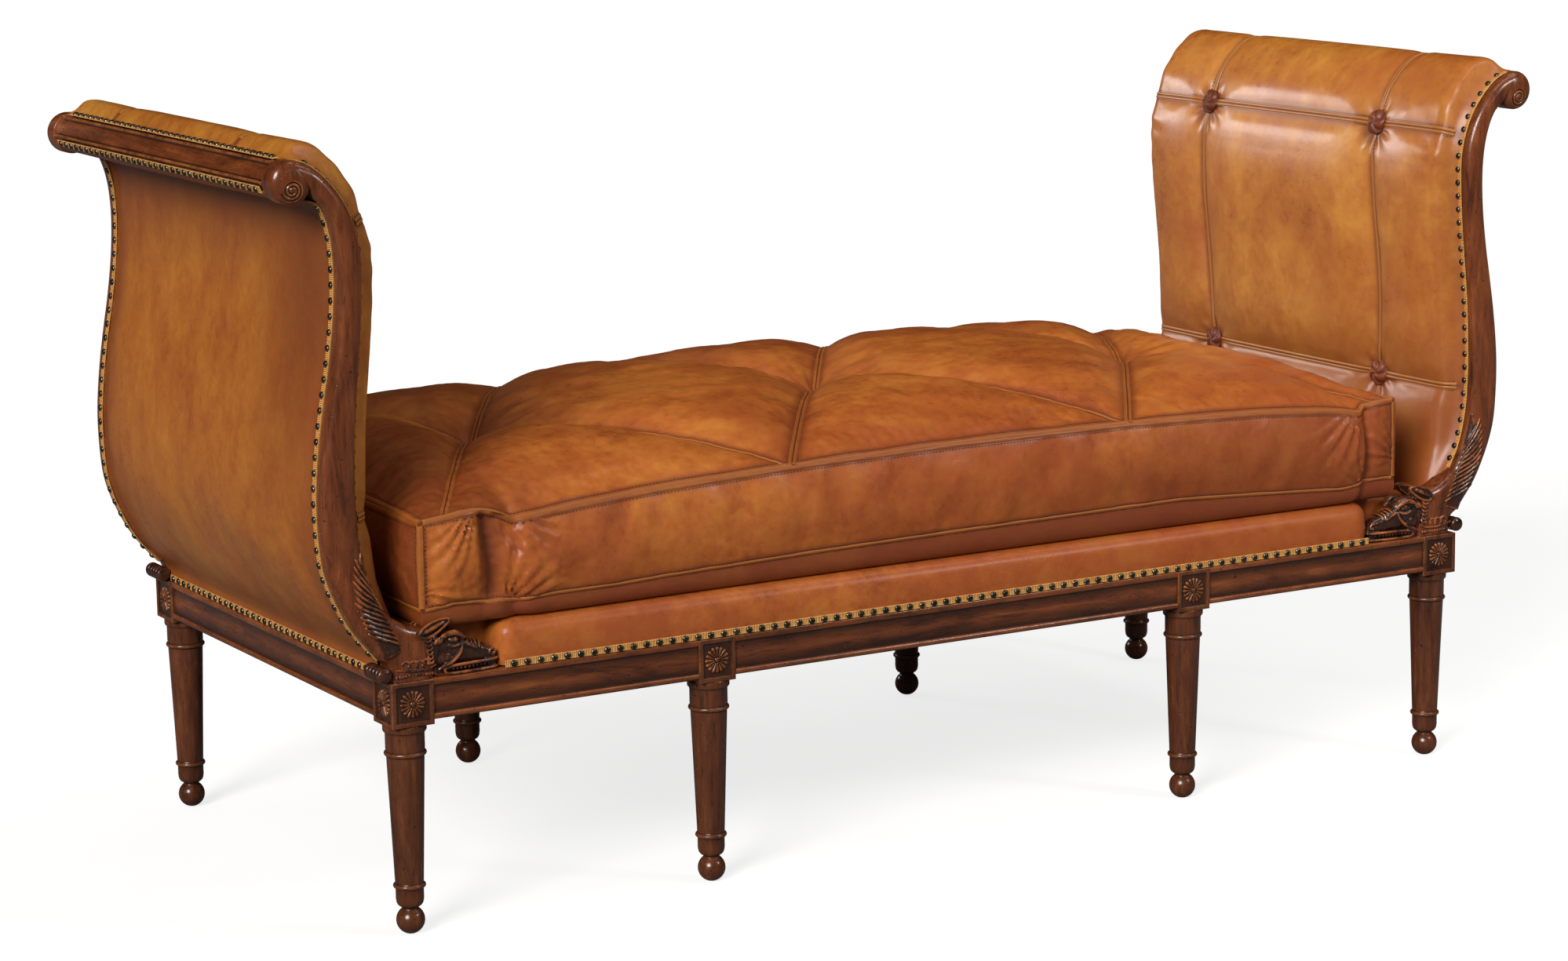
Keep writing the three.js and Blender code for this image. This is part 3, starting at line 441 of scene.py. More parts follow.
def mesh_of(form, name, weld):
    mesh = bpy.data.meshes.new(name)
    faces = [face for group in form.faces for face in group.tolist()]
    mesh.from_pydata((form.all_points() * MM).tolist(), [], faces)
    for label, values in (("shade", form.shade), ("run", form.run)):
        mark = mesh.attributes.new(label, "FLOAT", "POINT")
        mark.data.foreach_set("value", np.concatenate(values).astype(np.float32))
    face_outwards(mesh, weld)
    return mesh


def piece(name, form, material, replaced=(), crease=38, weld=0.002, passes=2, gain=1.0):
    """A finished piece that rides on the frame, takes its finish from a slot and stands for CAD nodes."""
    mesh = mesh_of(form, name, weld)
    mesh.shade_smooth()
    mesh.set_sharp_from_angle(angle=math.radians(crease))
    relief = mesh.attributes.new("relief", "FLOAT", "POINT")
    relief.data.foreach_set("value", (relief_of(mesh, passes) * gain).astype(np.float32))
    obj = placed(name, mesh)
    mesh.materials.append(material)
    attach(obj, "root")
    if replaced:
        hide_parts(*replaced)
    return obj


def mirrored(form, sx, sy=1):
    """The same form for another end (sx) or another long side (sy)."""
    return Form().join(form, (sx, sy, 1))


def fused(form, voxel, smoothing):
    """One skin round overlapping bodies, softened a little."""
    mesh = mesh_of(form, "lump", 0)
    obj = placed("lump", mesh)
    remesh = obj.modifiers.new("skin", "REMESH")
    remesh.mode = "VOXEL"
    remesh.voxel_size = voxel * MM
    soften = obj.modifiers.new("soften", "SMOOTH")
    soften.factor = 0.5
    soften.iterations = smoothing
    bpy.context.view_layer.update()
    done = obj.evaluated_get(bpy.context.evaluated_depsgraph_get()).to_mesh()
    points = vectors_of(done.vertices, "co", len(done.vertices)) * TO_MM
    corners = [tuple(face.vertices) for face in done.polygons]
    out = Form()
    quads = [c for c in corners if len(c) == 4]
    others = [c for c in corners if len(c) == 3]
    out.add(points, [np.array(group) for group in (quads, others) if group])
    bpy.data.objects.remove(obj)
    return out


# Finishes

class Shader:
    """A material's or a group's nodes, wired from values and sockets."""

    def __init__(self, tree):
        self.tree = tree

    def node(self, kind, sockets=(), **settings):
        node = self.tree.nodes.new("ShaderNode" + kind)
        for key, value in settings.items():
            setattr(node, key, value)
        for key, value in dict(sockets).items():
            self.wire(value, node.inputs[key])
        return node

    def wire(self, value, socket):
        if isinstance(value, bpy.types.NodeSocket):
            self.tree.links.new(value, socket)
        else:
            socket.default_value = value

    def math(self, operation, a, b=0.0, c=0.0):
        return self.node("Math", {0: a, 1: b, 2: c}, operation=operation).outputs[0]

    def times(self, a, b):
        return self.math("MULTIPLY", a, b)

    def plus(self, a, b):
        return self.math("ADD", a, b)

    def ramp(self, value, low, high):
        """0 below low, 1 above high, smooth between."""
        sockets = {"Value": value, "From Min": low, "From Max": high}
        return self.node("MapRange", sockets, interpolation_type="SMOOTHSTEP").outputs["Result"]

    def mix(self, share, a, b, blend="MIX"):
        node = self.node("Mix", data_type="RGBA", blend_type=blend)
        self.wire(share, node.inputs["Factor"])
        self.wire(a, node.inputs[6])
        self.wire(b, node.inputs[7])
        return node.outputs[2]

    def noise(self, place, scale, detail=4.0, rough=0.55, warp=0.0):
        sockets = {"Vector": place, "Scale": scale, "Detail": detail, "Roughness": rough,
                   "Distortion": warp}
        return self.node("TexNoise", sockets).outputs["Fac"]

    def cells(self, place, scale):
        """The distance to the nearest border of a net of small cells."""
        sockets = {"Vector": place, "Scale": scale}
        return self.node("TexVoronoi", sockets, feature="DISTANCE_TO_EDGE").outputs["Distance"]

    def mark(self, name):
        return self.node("Attribute", attribute_name=name).outputs["Fac"]

    def place(self):
        return self.node("TexCoord").outputs["Object"]

    def stretched(self, place, stretch):
        return self.node("VectorMath", {0: place, 1: stretch}, operation="MULTIPLY").outputs[0]


def colour(red, green, blue):
    """A colour as seen on screen, 0 to 255, as light."""
    channels = [c / 255 for c in (red, green, blue)]
    return (*[c / 12.92 if c <= 0.04045 else ((c + 0.055) / 1.055) ** 2.4 for c in channels], 1)


def new_group(name, inputs, outputs):
    tree = bpy.data.node_groups.new(name, "ShaderNodeTree")
    for label, kind in inputs.items():
        tree.interface.new_socket(label, in_out="INPUT", socket_type="NodeSocket" + kind)
    for label, kind in outputs.items():
        tree.interface.new_socket(label, in_out="OUTPUT", socket_type="NodeSocket" + kind)
    shader = Shader(tree)
    return shader, tree.nodes.new("NodeGroupInput").outputs, tree.nodes.new("NodeGroupOutput").inputs


SURFACE = {"Color": "Color", "Roughness": "Float", "Height": "Float"}


def leather_skin():
    """Aniline leather: cloudy colour, streaks, painted shade in seams and hollows, fine creases and pores.
    """
    inputs = {"Light": "Color", "Middle": "Color", "Dark": "Color", "Red": "Color", "Stretch": "Vector",
              "Cloud": "Float"}
    s, given, out = new_group("leather_skin", inputs, SURFACE)
    here = s.place()
    cloud = s.noise(s.stretched(here, given["Stretch"]), given["Cloud"], 5, 0.6, 0.6)
    streak = s.noise(s.stretched(here, given["Stretch"]), 26, 5, 0.62, 0.3)
    mottle = s.noise(here, 95, 4, 0.6)
    tone = s.plus(s.times(cloud, 0.44), s.times(streak, 0.36))
    tone = s.plus(tone, s.times(mottle, 0.2))
    base = s.mix(s.ramp(tone, 0.3, 0.53), given["Dark"], given["Middle"])
    base = s.mix(s.ramp(tone, 0.46, 0.68), base, given["Light"])
    place = s.node("SeparateXYZ", {0: here}).outputs
    lean = s.plus(s.noise(here, 3.1, 3, 0.5, 0.8), s.times(place["X"], 0.2))
    lean = s.plus(lean, s.times(place["Y"], -0.4))
    lean = s.plus(lean, s.times(place["Z"], -0.3))
    base = s.mix(s.times(s.ramp(lean, 0.34, 0.6), 0.55), base, given["Red"])
    stain = s.ramp(s.noise(here, 13, 6, 0.7, 1.2), 0.62, 0.8)
    base = s.mix(s.times(stain, 0.2), base, given["Dark"])
    scuff = s.ramp(s.noise(s.stretched(here, (3, 3, 40)), 22, 3, 0.5, 2.5), 0.71, 0.78)
    base = s.mix(s.times(scuff, 0.35), base, colour(104, 50, 20))
    # Painted shade: the higher the shade mark, the redder the leather.
    base = s.mix(s.times(s.ramp(s.mark("shade"), 0.0, 0.5), 0.6), base, given["Red"])
    # Painted shade, with some grime: the hollows and the shade mark darken the leather towards dark brown.
    hollow = s.times(s.mark("relief"), -1)
    dirt_and_painted_shade = s.math("MAXIMUM", s.ramp(hollow, 0.004, 0.09), s.mark("shade"))
    base = s.mix(s.times(dirt_and_painted_shade, 0.86), base, colour(62, 27, 14))
    rub = s.times(s.ramp(s.mark("relief"), 0.03, 0.16), 0.5)
    base = s.mix(rub, base, given["Light"])
    pore = s.cells(here, 900.0)
    crease = s.noise(s.stretched(here, (1, 1, 1)), 240, 5, 0.65, 1.5)
    fold = s.noise(here, 55, 3, 0.6, 2.0)
    wander = s.node("TexNoise", {"Vector": here, "Scale": 40.0}).outputs["Color"]
    bent = s.node("VectorMath", {0: wander, 1: (0.02, 0.02, 0.02), 2: here}, operation="MULTIPLY_ADD")
    web = s.cells(bent.outputs[0], 150.0)
    cracked = s.ramp(s.noise(here, 9, 3, 0.6), 0.52, 0.66)
    crackle = s.times(s.ramp(web, 0.0, 0.1), cracked)
    height = s.plus(s.times(s.ramp(pore, 0.0, 0.09), 0.3), s.times(crease, 0.7))
    s.wire(base, out["Color"])
    height = s.plus(height, s.times(crackle, 0.45))
    s.wire(s.plus(height, s.times(fold, 1.2)), out["Height"])
    gloss = s.plus(s.times(mottle, 0.16), s.times(cloud, 0.14))
    s.wire(s.plus(s.plus(gloss, 0.15), s.times(dirt_and_painted_shade, 0.2)), out["Roughness"])
    return s.tree


def wood_grain():
    """Waxed walnut: grain, dark pores and flecks, worn edges, and hollows darkened by old waxing and by
    painted shade.
    """
    inputs = {"Light": "Color", "Middle": "Color", "Dark": "Color", "Worn": "Color", "Stretch": "Vector"}
    s, given, out = new_group("wood_grain", inputs, SURFACE)
    here = s.place()
    along = s.stretched(here, given["Stretch"])
    grain = s.noise(along, 34, 7, 0.66, 1.4)
    line = s.noise(along, 130, 5, 0.7, 0.4)
    cloud = s.noise(here, 7, 4, 0.6)
    tone = s.plus(s.times(grain, 0.5), s.times(line, 0.3))
    tone = s.plus(tone, s.times(cloud, 0.2))
    base = s.mix(s.ramp(tone, 0.36, 0.53), given["Dark"], given["Middle"])
    base = s.mix(s.ramp(tone, 0.5, 0.66), base, given["Light"])
    pore = s.ramp(s.noise(along, 420, 3, 0.6), 0.6, 0.72)
    base = s.mix(s.times(pore, 0.55), base, colour(38, 18, 11))
    fleck = s.ramp(s.noise(here, 150, 2, 0.5), 0.7, 0.75)
    base = s.mix(s.times(fleck, 0.85), base, colour(26, 13, 9))
    relief = s.mark("relief")
    rubbed = s.times(s.ramp(relief, 0.03, 0.2), s.ramp(s.noise(here, 45, 4, 0.7), 0.36, 0.62))
    base = s.mix(s.times(rubbed, 0.75), base, given["Worn"])
    # Dark waxing and painted shade: the hollows and the shade mark darken the wood towards near-black
    # brown.
    wax_and_painted_shade = s.math("MAXIMUM", s.ramp(s.times(relief, -1), 0.01, 0.13), s.mark("shade"))
    base = s.mix(s.times(wax_and_painted_shade, 0.88), base, colour(24, 12, 8))
    s.wire(base, out["Color"])
    gloss = s.plus(s.times(grain, 0.2), s.times(wax_and_painted_shade, 0.12))
    s.wire(s.plus(gloss, 0.16), out["Roughness"])
    height = s.math("SUBTRACT", s.times(line, 0.5), s.plus(pore, s.times(fleck, 0.8)))
    s.wire(s.plus(height, s.times(s.noise(here, 60, 3, 0.6), 1.2)), out["Height"])
    return s.tree


def band_weave():
    """A coarse woven band: ribs across it and fine threads, from the run along the strip."""
    inputs = {"Light": "Color", "Dark": "Color", "Ribs": "Float"}
    s, given, out = new_group("band_weave", inputs, {"Color": "Color", "Height": "Float"})
    here = s.place()
    jitter = s.times(s.noise(here, 160, 3, 0.6), 2.2)
    rib = s.math("SINE", s.plus(s.times(s.mark("run"), given["Ribs"]), jitter))
    rib = s.plus(s.times(rib, 0.5), 0.5)
    base = s.mix(rib, given["Dark"], given["Light"])
    grime = s.ramp(s.noise(here, 60, 4, 0.7), 0.48, 0.72)
    base = s.mix(s.times(grime, 0.55), base, given["Dark"])
    # Painted shade where the shade mark is set.
    base = s.mix(s.times(s.mark("shade"), 0.8), base, colour(60, 34, 14))
    s.wire(base, out["Color"])
    s.wire(s.plus(rib, s.times(s.noise(here, 900, 2, 0.5), 0.5)), out["Height"])
    return s.tree


LEATHER_SKIN = leather_skin()
WOOD_GRAIN = wood_grain()
BAND_WEAVE = band_weave()


def finish(name, group, values, bump_mm, constants, roughness=None):
    """A material whose colour and height come from a shared group; constants sit on the shader itself."""
    material = bpy.data.materials.new(name)
    material.use_nodes = True
    s = Shader(material.node_tree)
    shader = material.node_tree.nodes["Principled BSDF"]
    source = material.node_tree.nodes.new("ShaderNodeGroup")
    source.node_tree = group
    for label, value in values.items():
        source.inputs[label].default_value = value
    s.wire(source.outputs["Color"], shader.inputs["Base Color"])
    if roughness is None:
        s.wire(source.outputs["Roughness"], shader.inputs["Roughness"])
    else:
        shader.inputs["Roughness"].default_value = roughness
    height = {"Height": source.outputs["Height"], "Strength": 1.0, "Distance": bump_mm * MM}
    s.wire(s.node("Bump", height).outputs["Normal"], shader.inputs["Normal"])
    for label, value in constants.items():
        shader.inputs[label].default_value = value
    return material


def tones(**colours):
    """A group's colour values, from tones as seen on screen."""
    return {label.capitalize(): colour(*tone) for label, tone in colours.items()}


def leather(name, light, middle, dark, stretch=(1, 1, 1), cloud=6.0, bump_mm=0.35, coat=0.15,
            red=(150, 64, 30)):
    values = tones(light=light, middle=middle, dark=dark, red=red)
    values.update({"Stretch": stretch, "Cloud": cloud})
    polish = {"Coat Weight": coat, "Coat Roughness": 0.27, "IOR": 1.4}
    return finish(name, LEATHER_SKIN, values, bump_mm, polish)


def walnut(name, stretch, light=(150, 84, 42), middle=(112, 57, 29), dark=(66, 31, 17), worn=(186, 116, 58),
           bump_mm=0.3, coat=0.25):
    values = tones(light=light, middle=middle, dark=dark, worn=worn)
    values["Stretch"] = stretch
    polish = {"Coat Weight": coat, "Coat Roughness": 0.1, "IOR": 1.45}
    return finish(name, WOOD_GRAIN, values, bump_mm, polish)


def woven(name, light, dark, ribs, bump_mm, roughness):
    values = tones(light=light, dark=dark)
    values["Ribs"] = ribs
    return finish(name, BAND_WEAVE, values, bump_mm, {}, roughness)


UPRIGHT_GRAIN = (1, 1, 0.14)
LONG_GRAIN = (0.14, 1, 1)
DEEP_GRAIN = (1, 0.14, 1)
NO_GRAIN = (1, 1, 1)
walnut_upright = walnut("walnut_upright", UPRIGHT_GRAIN)
# The legs' walnut is a darker copy of the upright walnut: painted shade for the legs under the seat.
walnut_turned_painted_shade = walnut("walnut_turned_painted_shade", UPRIGHT_GRAIN,
                       (118, 66, 36), (86, 45, 25), (48, 24, 14), (160, 98, 52))
walnut_long = walnut("walnut_long", LONG_GRAIN)
walnut_deep = walnut("walnut_deep", DEEP_GRAIN)
carved_walnut = walnut("carved_walnut", NO_GRAIN,
                       (84, 42, 24), (54, 27, 16), (26, 13, 9), (176, 98, 50), 0.2, 0.5)
plain_beech = walnut("plain_beech", (1, 0.2, 1),
                     (196, 158, 108), (172, 132, 84), (142, 104, 64), (206, 172, 124), 0.3, 0)
seat_leather = leather("seat_leather", (206, 130, 52), (184, 99, 38), (136, 64, 30))
panel_leather = leather("panel_leather", (198, 126, 46), (180, 104, 38), (154, 76, 34),
                        (1, 1, 0.6), 5.0, coat=0.12, red=(156, 72, 34))
pad_leather = leather("pad_leather", (202, 138, 54), (178, 108, 40), (148, 76, 30),
                      (1, 1, 0.8), 5.0, 0.25, 0.3, (158, 76, 34))
button_leather = leather("button_leather", (128, 66, 36), (96, 46, 26), (52, 24, 14), bump_mm=0.2)
gimp_band = woven("gimp_band", (244, 188, 104), (160, 98, 42), 2.6, 0.5, 0.5)
jute_web = woven("jute_web", (176, 148, 104), (122, 96, 62), 1.9, 0.6, 0.9)
thread = woven("thread", (74, 38, 18), (38, 18, 9), 4.0, 0.1, 0.6)
nail_head = walnut("nail_head", NO_GRAIN,
                   (92, 85, 72), (62, 56, 47), (34, 30, 26), (140, 130, 110), 0.15, 0.3)
nail_head.node_tree.nodes["Principled BSDF"].inputs["Metallic"].default_value = 0.85


# Legs

def leg_profile():
    """The turned leg from the floor up: ball, neck, cup, two rings, drum and collar."""
    foot, middle, neck_radius = 18, 17.6, 11
    turn = np.arccos(neck_radius / foot)
    tilt = np.linspace(-math.acos(math.sqrt(foot**2 - middle**2) / foot), turn, 18)
    profile = [[0, 0], [3.6, 0]]
    profile += [[foot * math.cos(t), middle + foot * math.sin(t)] for t in tilt[1:]]
    neck = middle + foot * math.sin(turn)
    profile += [[10.6, neck + 1.2], [neck_radius, neck + 2.5]]
    profile += [[neck_radius + 6.3 * math.sin(t), neck + 3.2 + 9 * (1 - math.cos(t))]
                for t in np.linspace(0.15, 1.5, 7)]
    profile += [[17.6, neck + 14], [17.5, 58.4]]
    profile += [[17.6 + 2.9 * math.cos(t), 62 + 3 * math.sin(t)] for t in np.linspace(-1.35, 1.35, 8)]
    profile += [[17.7, 66], [17.9, 67.5]]
    steps = 14
    profile += [[17.9 + 5.7 * k / steps, 67.5 + 158 * k / steps] for k in range(1, steps + 1)]
    profile += [[23.5, 227.4]]
    profile += [[23.7 + 2.9 * math.cos(t), 231 + 2.9 * math.sin(t)] for t in np.linspace(-1.35, 1.35, 8)]
    profile += [[24.2, 234.8], [24.5, 237], [24.5, 255], [24.9, 257.2]]
    profile += [[24.9 + 2.5 * math.sin(t), 261.2 - 3 * math.cos(t)] for t in np.linspace(0.2, 1.5, 5)]
    profile += [[27.4, 266.4], [26.6, 268], [0, 268.4]]
    return profile


FIELD_SHADE = 0.72
FIELD_DEPTH = 2.6
EDGE_STEPS = 6


def panelled_block(form, center, half, fields):
    """A square block with eased edges; a face that has a field gets a sunk panel inside a frame."""
    plain = [(0.45, 0.45), (0.9, 0.12), (1.6, 0)]
    sunk = plain + [(5.2, 0), (5.9, 0.5), (6.2, 2.2), (7.2, FIELD_DEPTH)]
    turns = {"front": ((1, 0, 0), (0, 0, 1), (0, -1, 0)), "back": ((-1, 0, 0), (0, 0, 1), (0, 1, 0)),
             "outer": ((0, 1, 0), (0, 0, 1), (1, 0, 0)), "inner": ((0, -1, 0), (0, 0, 1), (-1, 0, 0)),
             "top": ((1, 0, 0), (0, 1, 0), (0, 0, 1)), "bottom": ((1, 0, 0), (0, -1, 0), (0, 0, -1))}
    half = floats(half)
    center = floats(center)
    for face, (right, up, out) in turns.items():
        right, up, out = (floats(v) for v in (right, up, out))
        wide, high, deep = abs(right @ half), abs(up @ half), abs(out @ half)
        loops = sunk if face in fields else plain
        rings = []
        for inset, depth in loops:
            ring = []
            for a, b, c, d in ((-1, -1, 1, -1), (1, -1, 1, 1), (1, 1, -1, 1), (-1, 1, -1, -1)):
                for k in range(EDGE_STEPS):
                    t = k / EDGE_STEPS
                    x = (a + (c - a) * t) * (wide - inset)
                    z = (b + (d - b) * t) * (high - inset)
                    ring.append(center + right * x + up * z + out * (deep - depth))
            rings.append(ring)
        count = 4 * EDGE_STEPS
        rings.append([center + out * (deep - loops[-1][1])] * count)
        # Painted shade on the sunk field and on the slope down to it.
        shades = np.repeat([FIELD_SHADE * (depth > 2) for _, depth in (*loops, loops[-1])], count)
        form.add(np.asarray(rings).reshape(-1, 3), [skin(len(rings), count, around=True)], shades)


PETALS = 16
ROSETTE_RADIUS = 17.4
BOSS_RADIUS = 3.4


def rosette(form, center, right, out):
    """A carved daisy: sixteen hollowed petals round a boss, on the field of a block."""
    right, out = floats(right), floats(out)
    up = np.array([0, 0, 1.0])
    turn = full_turn(PETALS * 12)
    lobe = np.abs(np.cos(turn * PETALS / 2))
    radii = [0, 1.2, 2.2, 2.9, BOSS_RADIUS, 4.1, 5.4, 7.5, 10, 12.5, 14.6, 16, 16.9, ROSETTE_RADIUS]
    rings, shades = [], []
    for radius in radii:
        edge = radius / ROSETTE_RADIUS
        reach = radius * (1 - 0.2 * edge**4 * (1 - lobe) ** 1.1)
        # Painted shade round the foot of the boss and in the gaps between the petals.
        if radius <= BOSS_RADIUS:
            height = np.full_like(turn, 0.9 + 2.2 * math.sqrt(max(1 - (radius / 3.6) ** 2, 0)))
            shade = 0 * turn + (0.9 if radius > 3 else 0)
        else:
            rim = math.sqrt(max(1 - (max(edge - 0.84, 0) / 0.16) ** 2, 0))
            bulge = np.sqrt(np.clip((lobe - 0.22) / 0.6, 0, 1))
            height = np.maximum((0.1 + 2.7 * bulge * (0.7 + 0.3 * edge)) * rim, 0.0)
            shade = np.clip(1.5 - lobe * 2.6, 0, 1) + 0.9 * (radius < 4.5)
            shade = np.clip(shade, 0, 1)
        rings.append(center + right * (reach * np.cos(turn))[:, None] + up * (reach * np.sin(turn))[:, None]
                     + out * (height - 0.3)[:, None])
        shades.append(shade)
    form.add(np.asarray(rings).reshape(-1, 3), [skin(len(radii), len(turn), around=True)],
             np.asarray(shades).ravel())
    back = np.asarray(rings)[-1]
    form.add(np.vstack([back, back - out * 1.5]), [skin(2, len(turn), around=True),
                                                   (np.arange(len(turn)) + len(turn))[None]])


def leg_form(width, x, corner):
    form = Form()
    y = -(FRAME_HALF_DEPTH - width / 2)
    lathe(form, leg_profile(), 56, place=lambda p: p + np.array([x, y, 0]))
    middle_z = RAIL_TOP - BLOCK_HEIGHT / 2
    fields = ("front", "outer") if corner else ("front",)
    panelled_block(form, (x, y, middle_z), (width / 2, width / 2, BLOCK_HEIGHT / 2), fields)
    depth = width / 2 - FIELD_DEPTH
    rosette(form, np.array([x, y - depth, middle_z]), (1, 0, 0), (0, -1, 0))
    if corner:
        rosette(form, np.array([x + depth, y, middle_z]), (0, 1, 0), (1, 0, 0))
    return form


corner_leg = leg_form(CORNER_BLOCK, CORNER_LEG_X, True)
inner_leg = leg_form(INNER_BLOCK, INNER_LEG_X, False)
for corner, (sx, sy) in CORNERS.items():
    for drawn, ending in ((corner_leg, ""), (inner_leg, "_middle")):
        piece("turned_leg_" + corner + ending, mirrored(drawn, sx, sy), walnut_turned_painted_shade,
              ["leg_" + corner + ending])


# Seat rails: a proud band along the top, a sunk field and a bead below it. Section is [out, height]

def rail_section(thickness=26):
    """The rail's section from its lower inner edge, round the face, to its upper inner edge."""
    bead = [[1.5 + 1.9 * math.cos(t), 278 + 3.1 * math.sin(t)] for t in np.linspace(-1.45, 1.5, 9)]
    foot = [[-thickness, RAIL_BOTTOM], [0.6, RAIL_BOTTOM], [1.3, RAIL_BOTTOM + 0.4]]
    groove = [[0.4, 281.4], [-0.7, 282], [-0.9, 283.2], [-0.6, 284.4]]
    field = [[-0.5, 300], [-0.5, 315.4], [-0.1, 316.6], [1.5, 317.3], [2, 318]]
    band = [[RAIL_FACE, 319.5], [RAIL_FACE, 323.6], [1.7, 324.6], [0.8, RAIL_TOP], [-thickness, RAIL_TOP]]
    return [*foot, *bead, *groove, *field, *band]


def rail(length_steps, place):
    section = np.asarray(rail_section(), float)
    # Painted shade in the groove above the bead and in the groove below the top band.
    low_groove = (section[:, 0] < -0.55) & (section[:, 1] < 285)
    high_groove = (section[:, 0] < 1.6) & (section[:, 1] > 315) & (section[:, 1] < 317.6)
    rings = [place(section, along) for along in length_steps]
    form = Form()
    lofted(form, rings, np.tile(0.9 * (low_groove | high_groove), len(rings)))
    return form


def long_rail(x0, x1):
    face = -(FRAME_HALF_DEPTH - 3)
    steps = np.linspace(x0 + GAP, x1 - GAP, 30)
    return rail(steps, lambda s, x: np.stack([0 * s[:, 0] + x, face - s[:, 0], s[:, 1]], -1))


def end_rail(half):
    face = FRAME_HALF_LENGTH - 3
    steps = np.linspace(-half + GAP, half - GAP, 40)
    return rail(steps, lambda s, y: np.stack([face + s[:, 0], 0 * s[:, 0] + y, s[:, 1]], -1))


outer_long_rail = long_rail(INNER_LEG_X + INNER_BLOCK / 2, FRAME_HALF_LENGTH - CORNER_BLOCK)
middle_long_rail = long_rail(-(INNER_LEG_X - INNER_BLOCK / 2), INNER_LEG_X - INNER_BLOCK / 2)
for place, sy in PLACES.items():
    for side, sx in SIDES.items():
        name = "seat_rail_" + place + "_" + side
        piece("moulded_" + name, mirrored(outer_long_rail, sx, sy), walnut_long, [name],
              crease=30)
    name = "seat_rail_" + place + "_middle"
    piece("moulded_" + name, mirrored(middle_long_rail, 1, sy), walnut_long, [name], crease=30)
short_rail = end_rail(FRAME_HALF_DEPTH - CORNER_BLOCK)
for side, sx in SIDES.items():
    piece("moulded_side_rail_" + side, mirrored(short_rail, sx), walnut_deep,
          ["side_rail_" + side], crease=30)
    for hidden in ("cross_rail_", "arm_base_rail_"):
        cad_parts[hidden + side].data.materials[0] = plain_beech
    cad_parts["arm_webbing_" + side].data.materials[0] = jute_web


# Arm stiles: edges as shares of the arm's reach and rise

STILE_OUTER_SHARES = [
    (0.08, 0.046), (0.235, 0.078), (0.39, 0.112), (0.53, 0.155), (0.65, 0.202), (0.725, 0.25),
    (0.757, 0.315), (0.76, 0.38), (0.73, 0.444), (0.68, 0.508), (0.615, 0.572), (0.545, 0.635),
    (0.483, 0.706), (0.45, 0.767), (0.44, 0.824), (0.463, 0.879), (0.527, 0.924), (0.62, 0.953),
    (0.735, 0.969)
]
STILE_INNER_SHARES = [
    (-0.09, 0.128), (0.05, 0.154), (0.16, 0.19), (0.24, 0.234), (0.295, 0.283), (0.318, 0.331),
    (0.326, 0.388), (0.317, 0.444), (0.3, 0.508), (0.268, 0.57), (0.225, 0.638), (0.19, 0.696),
    (0.165, 0.751), (0.15, 0.816), (0.16, 0.864), (0.23, 0.913), (0.355, 0.958), (0.55, 1),
    (0.766, 1.029)
]


def arm_points(shares):
    return [[FRAME_HALF_LENGTH + a * REACH, RAIL_TOP + b * RISE] for a, b in shares]


VOLUTE_TOP = [VOLUTE_X, VOLUTE_Z + VOLUTE_RADIUS]
outer_edge = spline(arm_points(STILE_OUTER_SHARES), 200)
inner_edge = spline(arm_points(STILE_INNER_SHARES) + [VOLUTE_TOP], 240)


def round_front(share):
    """How far back the stile's face lies at a share of its width, 0 to 1."""
    near = np.abs(2 * floats(share) - 1)
    return STILE_ROUND * (1 - (1 - near**2.7) ** (1 / 2.7))


def stile_ring(outer, inner):
    """One section of the stile: rounded face towards -Y, straight sides and a flat back."""
    outer, inner = floats(outer), floats(inner)
    shares = 0.5 - 0.5 * np.cos(np.linspace(0, math.pi, 21))
    face = [[*(outer + (inner - outer) * t), -STILE_FRONT + d] for t, d in zip(shares, round_front(shares))]
    sides = [[*inner, -STILE_BACK - 1], [*inner, -STILE_BACK], [*outer, -STILE_BACK]]
    ring = np.asarray([[*outer, -STILE_BACK - 1], *face, *sides])
    return ring[:, [0, 2, 1]]


STILE_STATIONS = 90


def stile_form():
    """The scrolled upright, from its square foot up to the volute."""
    form = Form()
    joint = HEAD_JOINT_X + 0.4
    foot_inner = [[joint, SEAT_TOP], [joint, 386.9], [775.3, 386.9], [796.8, 392.5]]
    inner = spread_along(np.vstack([foot_inner[1:], inner_edge]), STILE_STATIONS)
    foot_outer = [[822, SEAT_TOP], [821.5, 341], [826, 349.5]]
    end_outer = [VOLUTE_X - 23, VOLUTE_Z - 8]
    outer = spread_along(np.vstack([foot_outer, outer_edge, end_outer]), STILE_STATIONS)
    pairs = [(outer[0], np.array(foot_inner[0]))]
    pairs += list(zip(outer, inner))
    lofted(form, [stile_ring(a, b) for a, b in pairs])
    return form


